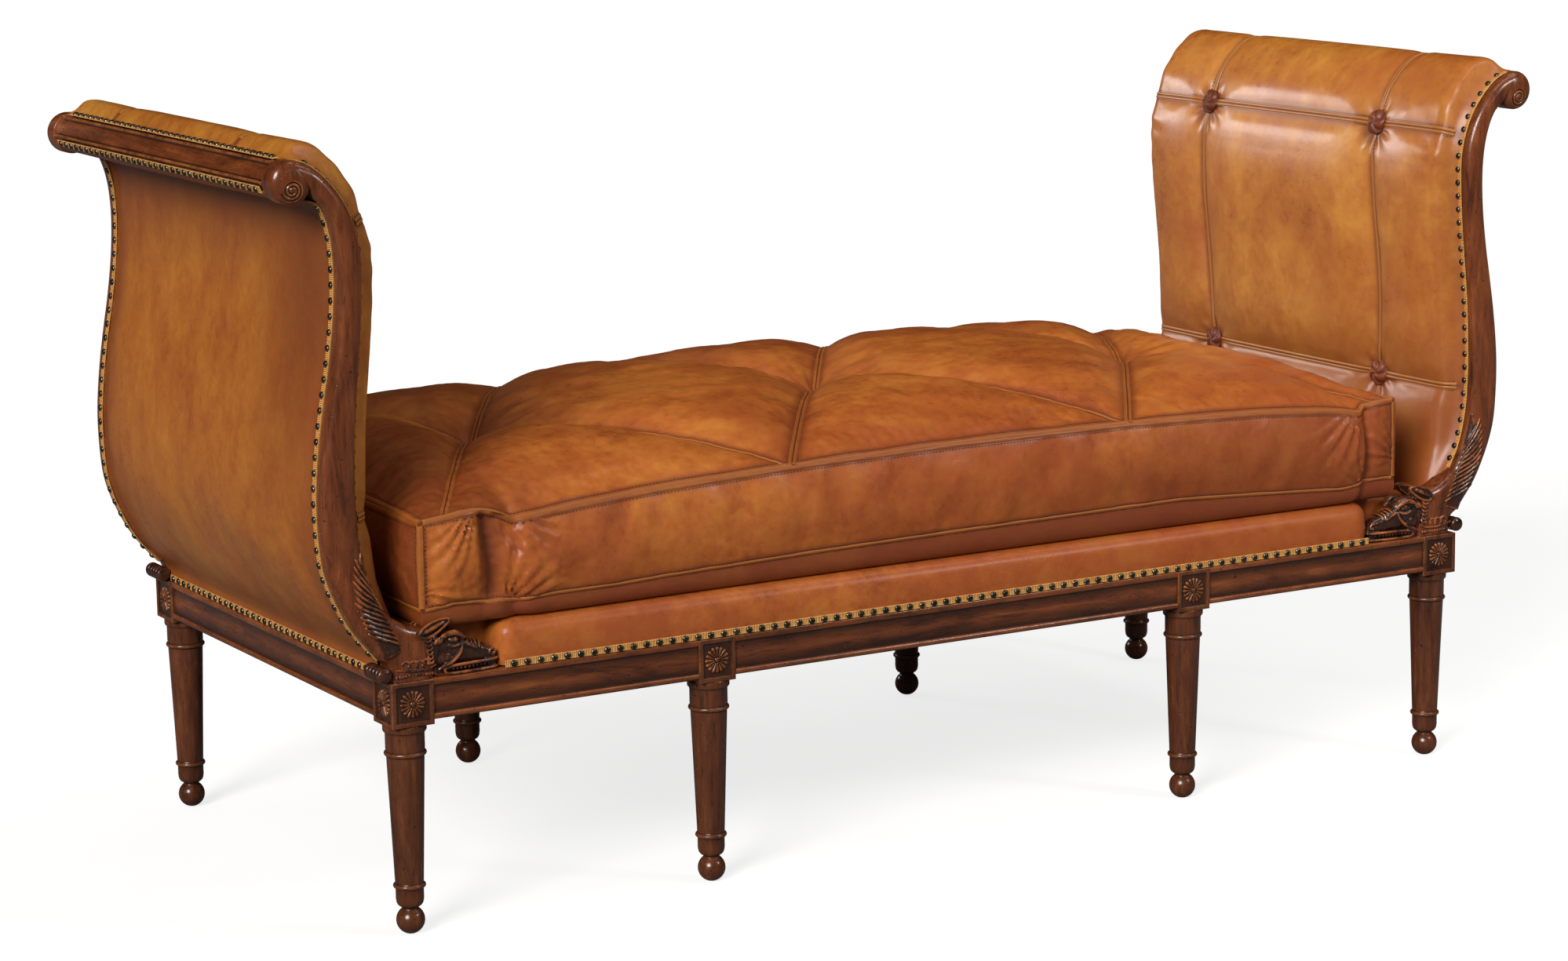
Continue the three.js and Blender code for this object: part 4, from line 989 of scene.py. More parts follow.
def volute_form():
    """The knob at the end of the arm, with a snail-like curl cut in its face."""
    form = Form()
    around = 144
    turn = full_turn(around)
    radii = np.concatenate([np.linspace(0, 14, 36), np.linspace(14.6, VOLUTE_RADIUS, 22)])
    front = STILE_FRONT + 1.2
    curl_x, curl_z = 1.5, -9.0
    curl_reach = 13.2
    rings = []
    for radius in radii:
        x, z = radius * np.cos(turn), radius * np.sin(turn)
        depth = 12.5 * (1 - math.sqrt(max(1 - (radius / 26.8) ** 2.4, 0)))
        local = np.hypot(x - curl_x, z - curl_z)
        angle = np.arctan2(z - curl_z, x - curl_x)
        cut = 0
        for whorl in range(3):
            line = 2.4 + 4.6 * (whorl + ((angle + 2.4) % (2 * math.pi)) / (2 * math.pi))
            cut = np.maximum(cut, 1.5 * np.exp(-(((local - line) / 1.15) ** 2)) * (line < curl_reach))
        rings.append(np.stack([VOLUTE_X + x, -front + depth + cut, VOLUTE_Z + z], -1))
    rim_x, rim_z = VOLUTE_X + VOLUTE_RADIUS * np.cos(turn), VOLUTE_Z + VOLUTE_RADIUS * np.sin(turn)
    rim = np.stack([rim_x, 0 * turn, rim_z], -1)
    middle = np.array([VOLUTE_X, VOLUTE_Z])
    for y in (-front + 16, -STILE_BACK - 3, -STILE_BACK - 0.8, -STILE_BACK):
        ring = rim.copy()
        ring[:, 1] = y
        if y == -STILE_BACK:
            ring[:, [0, 2]] = middle + (ring[:, [0, 2]] - middle) * 0.97
        rings.append(ring)
    rings.append(np.tile([VOLUTE_X, -STILE_BACK, VOLUTE_Z], (around, 1)))
    form.add(np.asarray(rings).reshape(-1, 3), [skin(len(rings), around, around=True)])
    return form


arm_stile = stile_form()
arm_stile.join(volute_form())
for corner, (sx, sy) in CORNERS.items():
    piece("scrolled_stile_" + corner, mirrored(arm_stile, sx, sy), walnut_upright,
          ["arm_stile_" + corner], crease=50)


# Crest rails between the volutes

CREST_TILT = 31
CREST_FACE = 21.5
CREST_HALF = 15.5
CREST_SKIN = 23


def crest_ring(grow):
    """The crest rail's section as [x, z]: a face with a bead at each edge, and where the leather lies."""
    bead = []
    for sign in (-1, 1):
        arc = [[CREST_FACE - 1.6 + 2.2 * math.cos(t), sign * (CREST_HALF - 2.1 + 2.1 * math.sin(t))]
               for t in np.linspace(-1.45, 1.4, 8)]
        bead.append(arc if sign > 0 else arc[::-1])
    swell = [[CREST_FACE - 0.4 - 0.9 * (k / 4) ** 2, k * 2.1] for k in range(-4, 5)]
    low_edge, high_edge = [CREST_FACE - 1.9, -CREST_HALF + 5], [CREST_FACE - 1.9, CREST_HALF - 5]
    face = [*bead[0], low_edge, *swell, high_edge, *bead[1]]
    high = [[CREST_SKIN * math.cos(t), CREST_SKIN * math.sin(t)] for t in np.radians([43, 55, 70, 85])]
    low = [[a, -b] for a, b in high][::-1]
    ring = np.asarray([*face, *high, [-14, 14], [-14, -14], *low])
    turn = math.radians(CREST_TILT)
    spin = np.array([[math.cos(turn), math.sin(turn)], [-math.sin(turn), math.cos(turn)]])
    return ring * (1 + grow) @ spin + [VOLUTE_X, VOLUTE_Z]


CREST_COLLAR = [(0, 0), (0, 0.055), (1.3, 0.075), (3.4, 0.075), (4.6, 0.05), (5.2, 0.0), (6.5, 0.03),
                (8, 0.03), (9.2, 0)]


def crest_form():
    """The crest rail, with a collar at each end (how far in, how much larger)."""
    form = Form()
    end = STILE_BACK - GAP
    steps = [(-end + inset, grow) for inset, grow in CREST_COLLAR]
    steps += [(y, 0) for y in np.linspace(-end + 12, -2, 24)]
    steps += [(-y, grow) for y, grow in steps[::-1]]
    rings = []
    for y, grow in steps:
        section = crest_ring(grow)
        rings.append(np.stack([section[:, 0], np.full(len(section), y), section[:, 1]], -1))
    lofted(form, rings)
    return form


crest = crest_form()
for side, sx in SIDES.items():
    piece("moulded_crest_rail_" + side, mirrored(crest, sx), walnut_deep,
          ["crest_rail_" + side], crease=32)


# Small reeded rolls on the corners of the frame

REEDS = 5


def roll_form():
    form = Form()
    profile = [[0, 0]]
    for k in range(REEDS):
        start, end = ROLL_LENGTH * k / REEDS, ROLL_LENGTH * (k + 1) / REEDS
        for t in np.linspace(-1.35, 1.35, 9):
            wide = (end - start) / 2
            profile.append([ROLL_RADIUS - 2.4 + 2.4 * math.cos(t), (start + end) / 2 + wide * math.sin(t)])
    profile += [[ROLL_RADIUS - 3.5, ROLL_LENGTH + 0.8], [5, ROLL_LENGTH + 1.6], [0, ROLL_LENGTH + 1.9]]
    start = np.array([ROLL_X, -(STILE_FRONT - ROLL_LENGTH), ROLL_Z])
    lathe(form, profile, 40, place=lambda p: start + p[:, [0, 2, 1]] * [1, -1, 1])
    return form


corner_roll = roll_form()
for corner, (sx, sy) in CORNERS.items():
    piece("reeded_roll_" + corner, mirrored(corner_roll, sx, sy), carved_walnut,
          ["corner_roll_" + corner], crease=50)


# Stuffing: covers made of grids are blown up by cloth simulation, then drawn again at a finer step

def refine(grid, times):
    """The same surface with more points, on smooth curves through the old ones."""
    for axis in (0, 1):
        count = grid.shape[axis]
        place = np.linspace(0, count - 1, (count - 1) * times + 1)
        i = np.minimum(place.astype(int), count - 2)
        t = (place - i).reshape([-1, 1, 1] if axis == 0 else [1, -1, 1])
        four = [np.take(grid, np.clip(i + k, 0, count - 1), axis=axis) for k in (-1, 0, 1, 2)]
        grid = between(*four, t)
    return grid


def cover(form, grids, shades):
    for grid, shade in zip(grids, shades):
        form.add(grid.reshape(-1, 3), [skin(*grid.shape[:2])], shade)


CLOTH_STRETCH = 18
CLOTH_SHEAR = 6
CLOTH_BEND = 0.6
CLOTH_MASS = 0.25
LAST_MOMENT = 20


def stuffed(grids, held, cap, pressure, slack, calm):
    """The cover's grids, blown up by a cloth simulation and smoothed.

    held is 1 where a point stays fast, cap the furthest move in millimetres, slack the extra cloth and
    calm the rounds of smoothing.
    """
    points = np.vstack([grid.reshape(-1, 3) for grid in grids])
    weights = np.concatenate([h.ravel() for h in held])
    _, first, inverse = np.unique(np.round(points, 2), axis=0, return_index=True, return_inverse=True)
    inverse = inverse.ravel()
    pinned = np.zeros(len(first))
    np.maximum.at(pinned, inverse, weights)
    faces, start = [], 0
    for grid in grids:
        faces.append(inverse[skin(*grid.shape[:2]) + start])
        start += grid.shape[0] * grid.shape[1]
    mesh = bpy.data.meshes.new("cover")
    mesh.from_pydata((points[first] * MM).tolist(), [], np.vstack(faces).tolist())
    face_outwards(mesh)
    obj = placed("cover", mesh)
    group = obj.vertex_groups.new(name="held")
    for k, weight in enumerate(pinned):
        if weight > 0:
            group.add([k], float(weight), "REPLACE")
    cloth = obj.modifiers.new("stuffing", "CLOTH")
    settings = cloth.settings
    settings.quality = 5
    settings.mass = CLOTH_MASS
    settings.tension_stiffness = CLOTH_STRETCH
    settings.compression_stiffness = CLOTH_STRETCH
    settings.shear_stiffness = CLOTH_SHEAR
    settings.bending_stiffness = CLOTH_BEND
    settings.use_pressure = True
    settings.uniform_pressure_force = pressure
    settings.vertex_group_mass = "held"
    settings.shrink_min = -slack
    settings.effector_weights.gravity = 0
    cloth.collision_settings.use_collision = False
    scene = bpy.context.scene
    for moment in range(1, LAST_MOMENT + 1):
        scene.frame_set(moment)
    done = obj.evaluated_get(bpy.context.evaluated_depsgraph_get()).to_mesh()
    moved = vectors_of(done.vertices, "co", len(done.vertices)) * TO_MM
    bpy.data.objects.remove(obj)
    scene.frame_set(1)
    shift = moved - points[first]
    far = np.linalg.norm(shift, axis=1, keepdims=True)
    shift *= np.minimum(1, cap / np.maximum(far, 1e-6))
    shift = shift[inverse]
    out, start = [], 0
    for grid, fast in zip(grids, held):
        size = grid.shape[0] * grid.shape[1]
        rise = shift[start:start + size].reshape(grid.shape)
        loose = 1 - np.clip(fast, 0, 1)[1:-1, 1:-1, None]
        for _ in range(calm):
            beside = rise[:-2, 1:-1] + rise[2:, 1:-1] + rise[1:-1, :-2] + rise[1:-1, 2:]
            rise[1:-1, 1:-1] = (rise[1:-1, 1:-1] / 2 + beside / 8) * loose
        out.append(grid + rise)
        start += size
    return out


def all_held(grids):
    return [np.ones(grid.shape[:2]) for grid in grids]


def rims(front, back, steps=2):
    """The four narrow grids that close a front grid and a back grid of the same size."""
    out = []
    for edge in ((slice(None), 0), (slice(None), -1), (0, slice(None)), (-1, slice(None))):
        a, b = front[edge], back[edge]
        out.append(np.stack([a + (b - a) * k / steps for k in range(steps + 1)]))
    return out


# Arm pads, drawn for the right arm. Rows run up the arm and over its top, columns from front to back

PAD_PROUD = 28
PAD_CROWN = 4
PAD_HALF = 363.4
PAD_EDGE_FLAT = 8.6
PAD_SHOULDER = 27
PAD_TOP_SHARE = 0.94
TUFT_DEPTH = 10

pad_foot = [[804, 352.6], [804, 368.4]]
pad_knots = pad_foot + arm_points(STILE_INNER_SHARES[1:]) + [VOLUTE_TOP]
pad_path = spline(pad_knots, 801)
pad_normal = left_of(pad_path)


def on_path(path, shares):
    place = np.clip(floats(shares), 0, 1) * (len(path) - 1)
    i = np.minimum(place.astype(int), len(path) - 2)
    t = (place - i)[..., None]
    return path[i] * (1 - t) + path[i + 1] * t


def share_at_height(height):
    """Where the pad's path passes a height, below its turn over the top."""
    rising = pad_path[:, 1]
    return np.interp(height, rising, np.linspace(0, 1, len(rising)))


def seam_y(sign, share):
    """A long seam runs through two buttons and bows a little outwards between them."""
    low, high = share_at_height(BUTTON_LOW), share_at_height(BUTTON_HIGH)
    t = np.clip((np.asarray(share) - low) / (high - low), -0.4, 1.3)
    return sign * (BUTTON_Y + 7 * np.sin(math.pi * t) * (t > 0) * (t < 1))


def pad_height(share, y):
    """How far the leather stands off the stile's inner edge line."""
    over = np.clip((share - PAD_TOP_SHARE) / (1 - PAD_TOP_SHARE), 0, 1)
    at_top = np.sqrt(np.maximum(1 - over**2, 0))
    at_foot = ease(0, 0.1, share)
    crown = PAD_CROWN * at_foot * (1 - 0.6 * ease(0.8, 1, share))
    full = 0.35 + 0.65 * ease(0.02, 0.24, share)
    edge = np.clip((PAD_HALF - np.abs(y) - PAD_EDGE_FLAT) / PAD_SHOULDER, 0, 1)
    shoulder = np.sqrt(np.maximum(1 - (1 - edge) ** 2.2, 0))
    side = np.abs(y) / PAD_HALF
    proud = (PAD_PROUD * full + crown * (1 - side**3.2)) * shoulder
    height = np.interp(share, np.linspace(0, 1, len(pad_path)), pad_path[:, 1])
    dip = 0 * proud
    for z in (BUTTON_HIGH, BUTTON_LOW):
        away = np.hypot(np.abs(y) - BUTTON_Y, height - z)
        dip = np.maximum(dip, TUFT_DEPTH * np.exp(-((away / 46) ** 1.3)))
        dip = np.maximum(dip, 4 * bump(height, z, 18) * shoulder)
    for sign in (-1, 1):
        dip = np.maximum(dip, 4.6 * bump(y, seam_y(sign, share), 18))
    lift = 1.2 + np.maximum(proud - dip, 0) * at_top
    return np.maximum(lift, 1.0)


def pad_grid(shares, ys, lift=None):
    share, y = np.meshgrid(shares, ys, indexing="ij")
    away = pad_height(share, y) if lift is None else lift(share, y)
    base, out = on_path(pad_path, share), on_path(pad_normal, share)
    return np.stack([base[..., 0] + out[..., 0] * away, y, base[..., 1] + out[..., 1] * away], -1)


def pad_back(share, y):
    over = np.clip((share - PAD_TOP_SHARE) / (1 - PAD_TOP_SHARE), 0, 1)
    deep = -11 * np.maximum(np.sqrt(np.maximum(1 - over**2, 0)), 0.25)
    return np.where(np.abs(y) < STILE_BACK - 1, deep, 0.35)


PAD_ROWS = 75
PAD_COLUMNS = 73
PAD_FINE = 4
pad_shares = np.linspace(0, 1, PAD_ROWS)
pad_ys = np.linspace(-PAD_HALF, PAD_HALF, PAD_COLUMNS)
pad_front = pad_grid(pad_shares, pad_ys)
pad_behind = pad_grid(pad_shares, pad_ys, pad_back)


def pad_held():
    """1 where the leather is nailed, sewn or buttoned down, 0 where the filling can lift it."""
    share, y = np.meshgrid(pad_shares, pad_ys, indexing="ij")
    height = pad_front[..., 2]
    held = (np.abs(y) > PAD_HALF - PAD_EDGE_FLAT - 3) * 1.0
    held = np.maximum(held, (share < 0.03) | (share > 0.975))
    below = share < PAD_TOP_SHARE
    for z in (BUTTON_HIGH, BUTTON_LOW):
        held = np.maximum(held, (np.abs(height - z) < 5.5) & below)
        held = np.maximum(held, np.hypot(np.abs(y) - BUTTON_Y, height - z) < 15)
    for sign in (-1, 1):
        held = np.maximum(held, np.abs(y - seam_y(sign, share)) < 5.2)
    return held.astype(float)


pad_grids = [pad_front, pad_behind, *rims(pad_front, pad_behind)]
pad_held_marks = [pad_held()] + all_held(pad_grids[1:])
pad_grids = stuffed(pad_grids, pad_held_marks, cap=9, pressure=3.0, slack=0.012, calm=24)


def pad_wrinkles(fine):
    """Small puckers that run out from each button."""
    y, z = fine[..., 1], fine[..., 2]
    lift = 0 * y
    for sign in (-1, 1):
        for height in (BUTTON_HIGH, BUTTON_LOW):
            away = np.hypot(y - sign * BUTTON_Y, z - height)
            angle = np.arctan2(z - height, y - sign * BUTTON_Y)
            pleat = np.sin(angle * 9 + sign * 1.3 + 0.6 * np.sin(angle * 4 + height))
            lift += 1.1 * pleat * bump(away, 26, 13)
    depth = PAD_HALF - np.abs(y)
    front = ease(14, 24, depth) * ease(72, 36, depth)
    high = ease(BUTTON_HIGH - 150, BUTTON_HIGH - 50, z)
    pucker = np.sin(z / 5.2 + 0.9 * np.sin(z / 17) + 1.2 * np.sin(y / 21))
    return lift + front * (0.15 + 1.2 * high) * 0.38 * pucker


pad_fine = refine(pad_grids[0], PAD_FINE)
pad_fine += Sheet(pad_fine, -1).normals * pad_wrinkles(pad_fine)[..., None]
pad_sheet = Sheet(pad_fine, -1)


def darkest(*shades):
    """The darkest of several shades at each point."""
    out = shades[0]
    for shade in shades[1:]:
        out = np.maximum(out, shade)
    return out


def pad_painted_shade():
    """Painted shade: darker at the foot, over the lower half and at the edges, and beside the seams and
    buttons.
    """
    length = 680
    y, z = pad_fine[..., 1], pad_fine[..., 2]
    rise = np.linspace(0, 1, pad_fine.shape[0])[:, None]
    edge = 0.12 * ease(PAD_HALF - 30, PAD_HALF - 6, np.abs(y))
    shade = darkest(0.42 * ease(0.2, 0.0, rise) + 0 * y, edge, 0.3 * ease(0.5, 0.2, rise))
    for height in (BUTTON_HIGH, BUTTON_LOW):
        shade = darkest(shade, 0.6 * bump((rise - share_at_height(height)) * length, 0, 8))
        for sign in (-1, 1):
            near = np.hypot(y - sign * BUTTON_Y, z - height)
            shade = darkest(shade, 0.85 * bump(near, 8, 18))
    for sign in (-1, 1):
        shade = darkest(shade, 0.6 * bump(y, seam_y(sign, rise), 7))
    return shade


pad_shade = pad_painted_shade()


def column_of(y):
    return (floats(y) + PAD_HALF) / (2 * PAD_HALF)


BUTTON_ROOM = 12
PAD_BACK_SHADE = 0.3


def pad_pieces():
    """The pad with its cross seams and long seams, which stop short of the buttons, and its stitches."""
    body, thread_form = Form(), Form()
    behind = refine(pad_grids[1], PAD_FINE)
    # The back and the rims of the pad take painted shade.
    cover(body, [pad_fine, behind, *rims(pad_fine, behind)], [pad_shade] + [PAD_BACK_SHADE] * 5)
    low, high = share_at_height(BUTTON_LOW), share_at_height(BUTTON_HIGH)
    inside = PAD_HALF - PAD_EDGE_FLAT - 1
    before, after = BUTTON_Y - BUTTON_ROOM, BUTTON_Y + BUTTON_ROOM
    for share in (low, high):
        for y0, y1 in ((-inside, -after), (-before, before), (after, inside)):
            ys = np.linspace(y0, y1, max(int(abs(y1 - y0) / 4), 4))
            points, normals = pad_sheet.at(0 * ys + share, column_of(ys))
            double_welt(body, thread_form, points, normals, 4.8, 1.5)
    step = BUTTON_ROOM / 650
    runs = ((0.04, low - step, False), (low + step, high - step, False), (high + step, 0.99, True))
    for sign in (-1, 1):
        for s0, s1, double in runs:
            shares = np.linspace(s0, s1, max(int((s1 - s0) * 170), 6))
            points, normals = pad_sheet.at(shares, column_of(seam_y(sign, shares)))
            if double:
                double_welt(body, thread_form, points, normals, 4.2, 1.2)
            else:
                single_seam(body, thread_form, points, normals, 1, 2.4, 1.3)
    return body, thread_form


pad_body, pad_thread = pad_pieces()


BUTTON_RADIUS = 18.4
BUTTON_DOME = 12
BUTTON_RIM = 0.86


def button_form(y, height, turn):
    """A button covered in gathered leather: folds that swirl in to a pinched middle."""
    form = Form()
    share = share_at_height(height)
    point, normal = pad_sheet.at(np.array([share]), column_of([y]))
    point, normal = point[0], normal[0]
    across = unit(np.cross([0, 1.0, 0], normal))
    side = np.cross(normal, across)
    angle = full_turn(112)
    rings, shades = [], []

    def ring(reach, rise):
        ahead, aside = (reach * np.cos(angle))[:, None], (reach * np.sin(angle))[:, None]
        return point + across * ahead + side * aside + normal * np.broadcast_to(rise, angle.shape)[:, None]

    for t in np.linspace(0, 1, 26):
        radius = BUTTON_RADIUS * math.sin(t * math.pi / 2) if t < BUTTON_RIM else 18
        dome = BUTTON_DOME * math.sqrt(max(1 - (radius / 19.8) ** 2.2, 0))
        swirl = angle * 5 + turn + (1 - t) * 5.2 + 0.5 * np.sin(angle * 2 + turn)
        fold = (0.5 + 0.5 * np.cos(swirl)) ** 0.7
        depth = 2.6 * math.sin(math.pi * min(t * 0.93, 1)) ** 0.7
        pinch = 2.2 * math.exp(-((t / 0.16) ** 2))
        tuck = 3.4 * (t - BUTTON_RIM) / 0.14 if t > BUTTON_RIM else 0
        rise = dome - depth * (1 - fold) - pinch - tuck
        rings.append(ring(radius + 0.9 * fold * t - 0.5 * t, rise + 0.4))
        # Painted shade in the valleys between the folds.
        shades.append(np.clip(1.05 - fold * 1.4, 0, 1) * min(t * 4, 1))
    # Painted shade on the tucked underside.
    for radius in (14, 0):
        rings.append(ring(radius, -3.0))
        shades.append(0 * angle + 0.9)
    form.add(np.asarray(rings).reshape(-1, 3), [skin(len(rings), len(angle), around=True)],
             np.asarray(shades).ravel())
    return form


for side, sx in SIDES.items():
    piece("stuffed_arm_pad_" + side, mirrored(pad_body, sx), pad_leather,
          ["arm_pad_" + side], crease=60)
    piece("arm_pad_stitches_" + side, mirrored(pad_thread, sx), thread, weld=0)
    for k, (level, height) in enumerate((("upper", BUTTON_HIGH), ("lower", BUTTON_LOW))):
        for m, (place, sign) in enumerate(PLACES.items()):
            y = -sign * BUTTON_Y
            drawn = button_form(y, height, 1.7 * k + 2.9 * m)
            name = "arm_button_" + side + "_" + level + "_" + place
            piece("covered_" + name, mirrored(drawn, sx), button_leather,
                  [name], crease=60)


# Outer leather of each arm, nailed to the outer faces of the stiles and under the crest rail

PANEL_FLANGE = 359.4
PANEL_FOOT_HALF = 336.2
PANEL_TOP_HALF = 348.8
PANEL_STEPS = 700
PANEL_FINE = 3
LEATHER_THICKNESS = 0.9
turn_points = arc_points((VOLUTE_X, VOLUTE_Z), 25.4, -26, -112, 10)
panel_knots = [*turn_points[:-1:3], turn_points[-1], *arm_points([(0.765, 0.9605)]),
               *arm_points(STILE_OUTER_SHARES[::-1])[1:-1], [825.5, 345], [822.6, SEAT_TOP + GIMP_WIDTH],
               [822.3, SEAT_TOP]]
panel_path = spline(panel_knots, PANEL_STEPS + 1)
panel_normal = left_of(panel_path)
PANEL_ROWS, PANEL_COLUMNS = 80, 74
panel_height = panel_path[:, 1]
panel_low = np.arange(PANEL_STEPS + 1) > 300
TURN_SHARE = float(np.argmax(panel_path[:, 0] < 906)) / PANEL_STEPS
FOOT_SHARE = float(np.argmax((panel_height < 362) & panel_low)) / PANEL_STEPS
ROLL_SHARE = float(np.argmax((panel_height < 349) & panel_low)) / PANEL_STEPS


def panel_half(share):
    """Half the leather's width: between the stiles, out over their faces, then in beside the rolls."""
    wide = PANEL_FLANGE + (PANEL_FOOT_HALF - PANEL_FLANGE) * ease(FOOT_SHARE, ROLL_SHARE, share)
    opening = ease(TURN_SHARE - 0.02, TURN_SHARE + 0.01, share)
    return PANEL_TOP_HALF + (wide - PANEL_TOP_HALF) * opening


def panel_lift(share, y):
    """How far the stretched leather stands off its path: a slight belly, flat where it is nailed."""
    side = np.abs(y) / 349
    belly = np.sin(math.pi * np.clip(share / 0.95, 0, 1) ** 1.8) * 8
    stuffing = -3 + belly * (1 - np.clip(side, 0, 1) ** 4) + 2.2 * ease(0.9, 0.2, side)
    ends = ease(0.0, 0.05, share) * ease(1.0, 0.95, share)
    inner = stuffing * ends + 0.4 * (1 - ends)
    return inner + (0.8 - inner) * ease(346, 353, np.abs(y))


def panel_grid(shares, columns, drop=0.0):
    share, column = np.meshgrid(shares, columns, indexing="ij")
    y = column * panel_half(share)
    away = panel_lift(share, y) - drop
    base, out = on_path(panel_path, share), on_path(panel_normal, share)
    return np.stack([base[..., 0] + out[..., 0] * away, y, base[..., 1] + out[..., 1] * away], -1)


panel_shares = np.linspace(0, 1, PANEL_ROWS)
panel_columns = np.linspace(-1, 1, PANEL_COLUMNS)
panel_front = panel_grid(panel_shares, panel_columns)
panel_behind = panel_grid(panel_shares, panel_columns, 0.7)
panel_grids = [panel_front, panel_behind, *rims(panel_front, panel_behind, 1)]
share_grid = np.repeat(panel_shares[:, None], PANEL_COLUMNS, axis=1)
panel_free = (np.abs(panel_front[..., 1]) < 344) & (share_grid > 0.05) & (share_grid < 0.95)
panel_marks = [1.0 - panel_free] + all_held(panel_grids[1:])
panel_grids = stuffed(panel_grids, panel_marks, cap=6, pressure=2.0, slack=0.008, calm=10)
panel_fine = refine(panel_grids[0], PANEL_FINE)
panel_sheet = Sheet(panel_fine)
fine_share = np.linspace(0, 1, panel_fine.shape[0])[:, None]
panel_y = panel_fine[..., 1]
# Painted shade: darker at the top under the crest rail, at the foot, towards the front stile and near the
# nailed edges.
panel_shade = 0.5 * ease(0.34, 0.05, fine_share) + 0.3 * ease(0.84, 1.0, fine_share)
front_painted_shade = 0.5 * ease(60, 330, -panel_y) * ease(0.85, 0.3, fine_share)
panel_shade = darkest(panel_shade, front_painted_shade, 0.4 * ease(270, 350, np.abs(panel_y)))
panel_body = Form()
panel_inner = panel_fine + panel_sheet.normals * LEATHER_THICKNESS
# The back and the rims of the panel take painted shade too.
cover(panel_body, [panel_fine, panel_inner, *rims(panel_fine, panel_inner, 1)], [panel_shade] + [0.5] * 5)
for side, sx in SIDES.items():
    piece("stretched_outer_leather_" + side, mirrored(panel_body, sx), panel_leather,
          ["arm_outer_panel_" + side], crease=60)


# Gimp and nails

def edge_strip(path, normal, y, start, end, lift, count=150):
    """A path along the side face of a stile, at a depth y."""
    shares = np.linspace(start, end, count)
    base, out = on_path(path, shares), on_path(normal, shares)
    points = np.stack([base[:, 0] + out[:, 0] * lift, 0 * shares + y, base[:, 1] + out[:, 1] * lift], -1)
    return points, np.stack([out[:, 0], 0 * shares, out[:, 1]], -1)


MANE_TOP = 415
PAD_GIMP_OUT = 2.2
PAD_GIMP_EXTRA = 3.2
PANEL_GIMP_IN = 4.6


def nailed_band(band, heads, points, normals, start, width=GIMP_WIDTH):
    """A gimp band with a row of nails along its middle."""
    gimp_strip(band, points, normals, width=width)
    nails(heads, points + normals * 1.0, normals, start)


arm_gimp, arm_nails = Form(), Form()
mane_share = share_at_height(MANE_TOP)
PANEL_GIMP_Y = GIMP_MIDDLE_Y - PANEL_GIMP_IN
GIMP_RUNS = (
    (pad_path, pad_normal, GIMP_MIDDLE_Y, mane_share, 0.985, 1.3),
    (panel_path, panel_normal, PANEL_GIMP_Y, TURN_SHARE + 0.012, FOOT_SHARE + 0.02, 0.9),
)
for sign in (-1, 1):
    for path, normal, middle, start, end, lift in GIMP_RUNS:
        points, normals = edge_strip(path, normal, sign * middle, start, end, lift)
        on_pad = lift > 1
        points = points + np.array([0, PAD_GIMP_OUT * sign * on_pad, 0])
        nailed_band(arm_gimp, arm_nails, points, normals, 4, GIMP_WIDTH + PAD_GIMP_EXTRA * on_pad)
for degrees in (CREST_TILT - 54, CREST_TILT + 54):
    turn = math.radians(degrees)
    out = np.array([math.cos(turn), 0, math.sin(turn)])
    ys = np.linspace(-339, 339, 120)
    seat = 26.2 if degrees > CREST_TILT else 25.6
    points = np.stack([0 * ys + VOLUTE_X + out[0] * seat, ys, 0 * ys + VOLUTE_Z + out[2] * seat], -1)
    normals = np.tile(out, (len(ys), 1))
    nailed_band(arm_gimp, arm_nails, points, normals, 3)
for side, sx in SIDES.items():
    piece("arm_gimp_" + side, mirrored(arm_gimp, sx), gimp_band, weld=0)
    piece("arm_nails_" + side, mirrored(arm_nails, sx), nail_head, weld=0)


def nailed_gimp(place, points, out, sx, sy):
    """The band along one side of the seat and its nails, mirrored to that side."""
    band, heads = Form(), Form()
    nailed_band(band, heads, points, np.tile(out, (len(points), 1)), 2)
    piece("nailed_gimp_" + place, mirrored(band, sx, sy), gimp_band, ["gimp_" + place], weld=0)
    piece("gimp_nails_" + place, mirrored(heads, sx, sy), nail_head, weld=0)


gimp_z = SEAT_TOP + 0.2 + GIMP_WIDTH / 2
xs = np.linspace(-DECK_HALF_LENGTH + 5, DECK_HALF_LENGTH - 5, 300)
ys = np.linspace(-335.5, 335.5, 200)
long_line = np.stack([xs, 0 * xs - DECK_FACE - 0.2, 0 * xs + gimp_z], -1)
short_line = np.stack([0 * ys + 822.7, ys, 0 * ys + gimp_z], -1)
for place, sy in PLACES.items():
    nailed_gimp(place, long_line, [0, -1.0, 0], 1, sy)
for side, sx in SIDES.items():
    nailed_gimp(side, short_line, [1.0, 0, 0], sx, 1)


# Fixed seat pad: a stuffed roll along the front and back, with tongues under the arms

def rounded_plan(half_length, half_depth, corner, inset, step=7.0):
    """The plan outline of the pad, moved in by inset."""
    x, y, r = half_length - inset, half_depth - inset, max(corner - inset, 1.5)
    outline = []
    for quarter, (sx, sy) in enumerate(((1, -1), (1, 1), (-1, 1), (-1, -1))):
        start = 90 * quarter - 90
        outline.append(arc_points((sx * (x - r), sy * (y - r)), r, start, start + 90, 9))
    outline = np.vstack(outline + [outline[0][:1]])
    return spread_along(outline, int(2 * (half_length + half_depth) * 2 / step))[:-1]


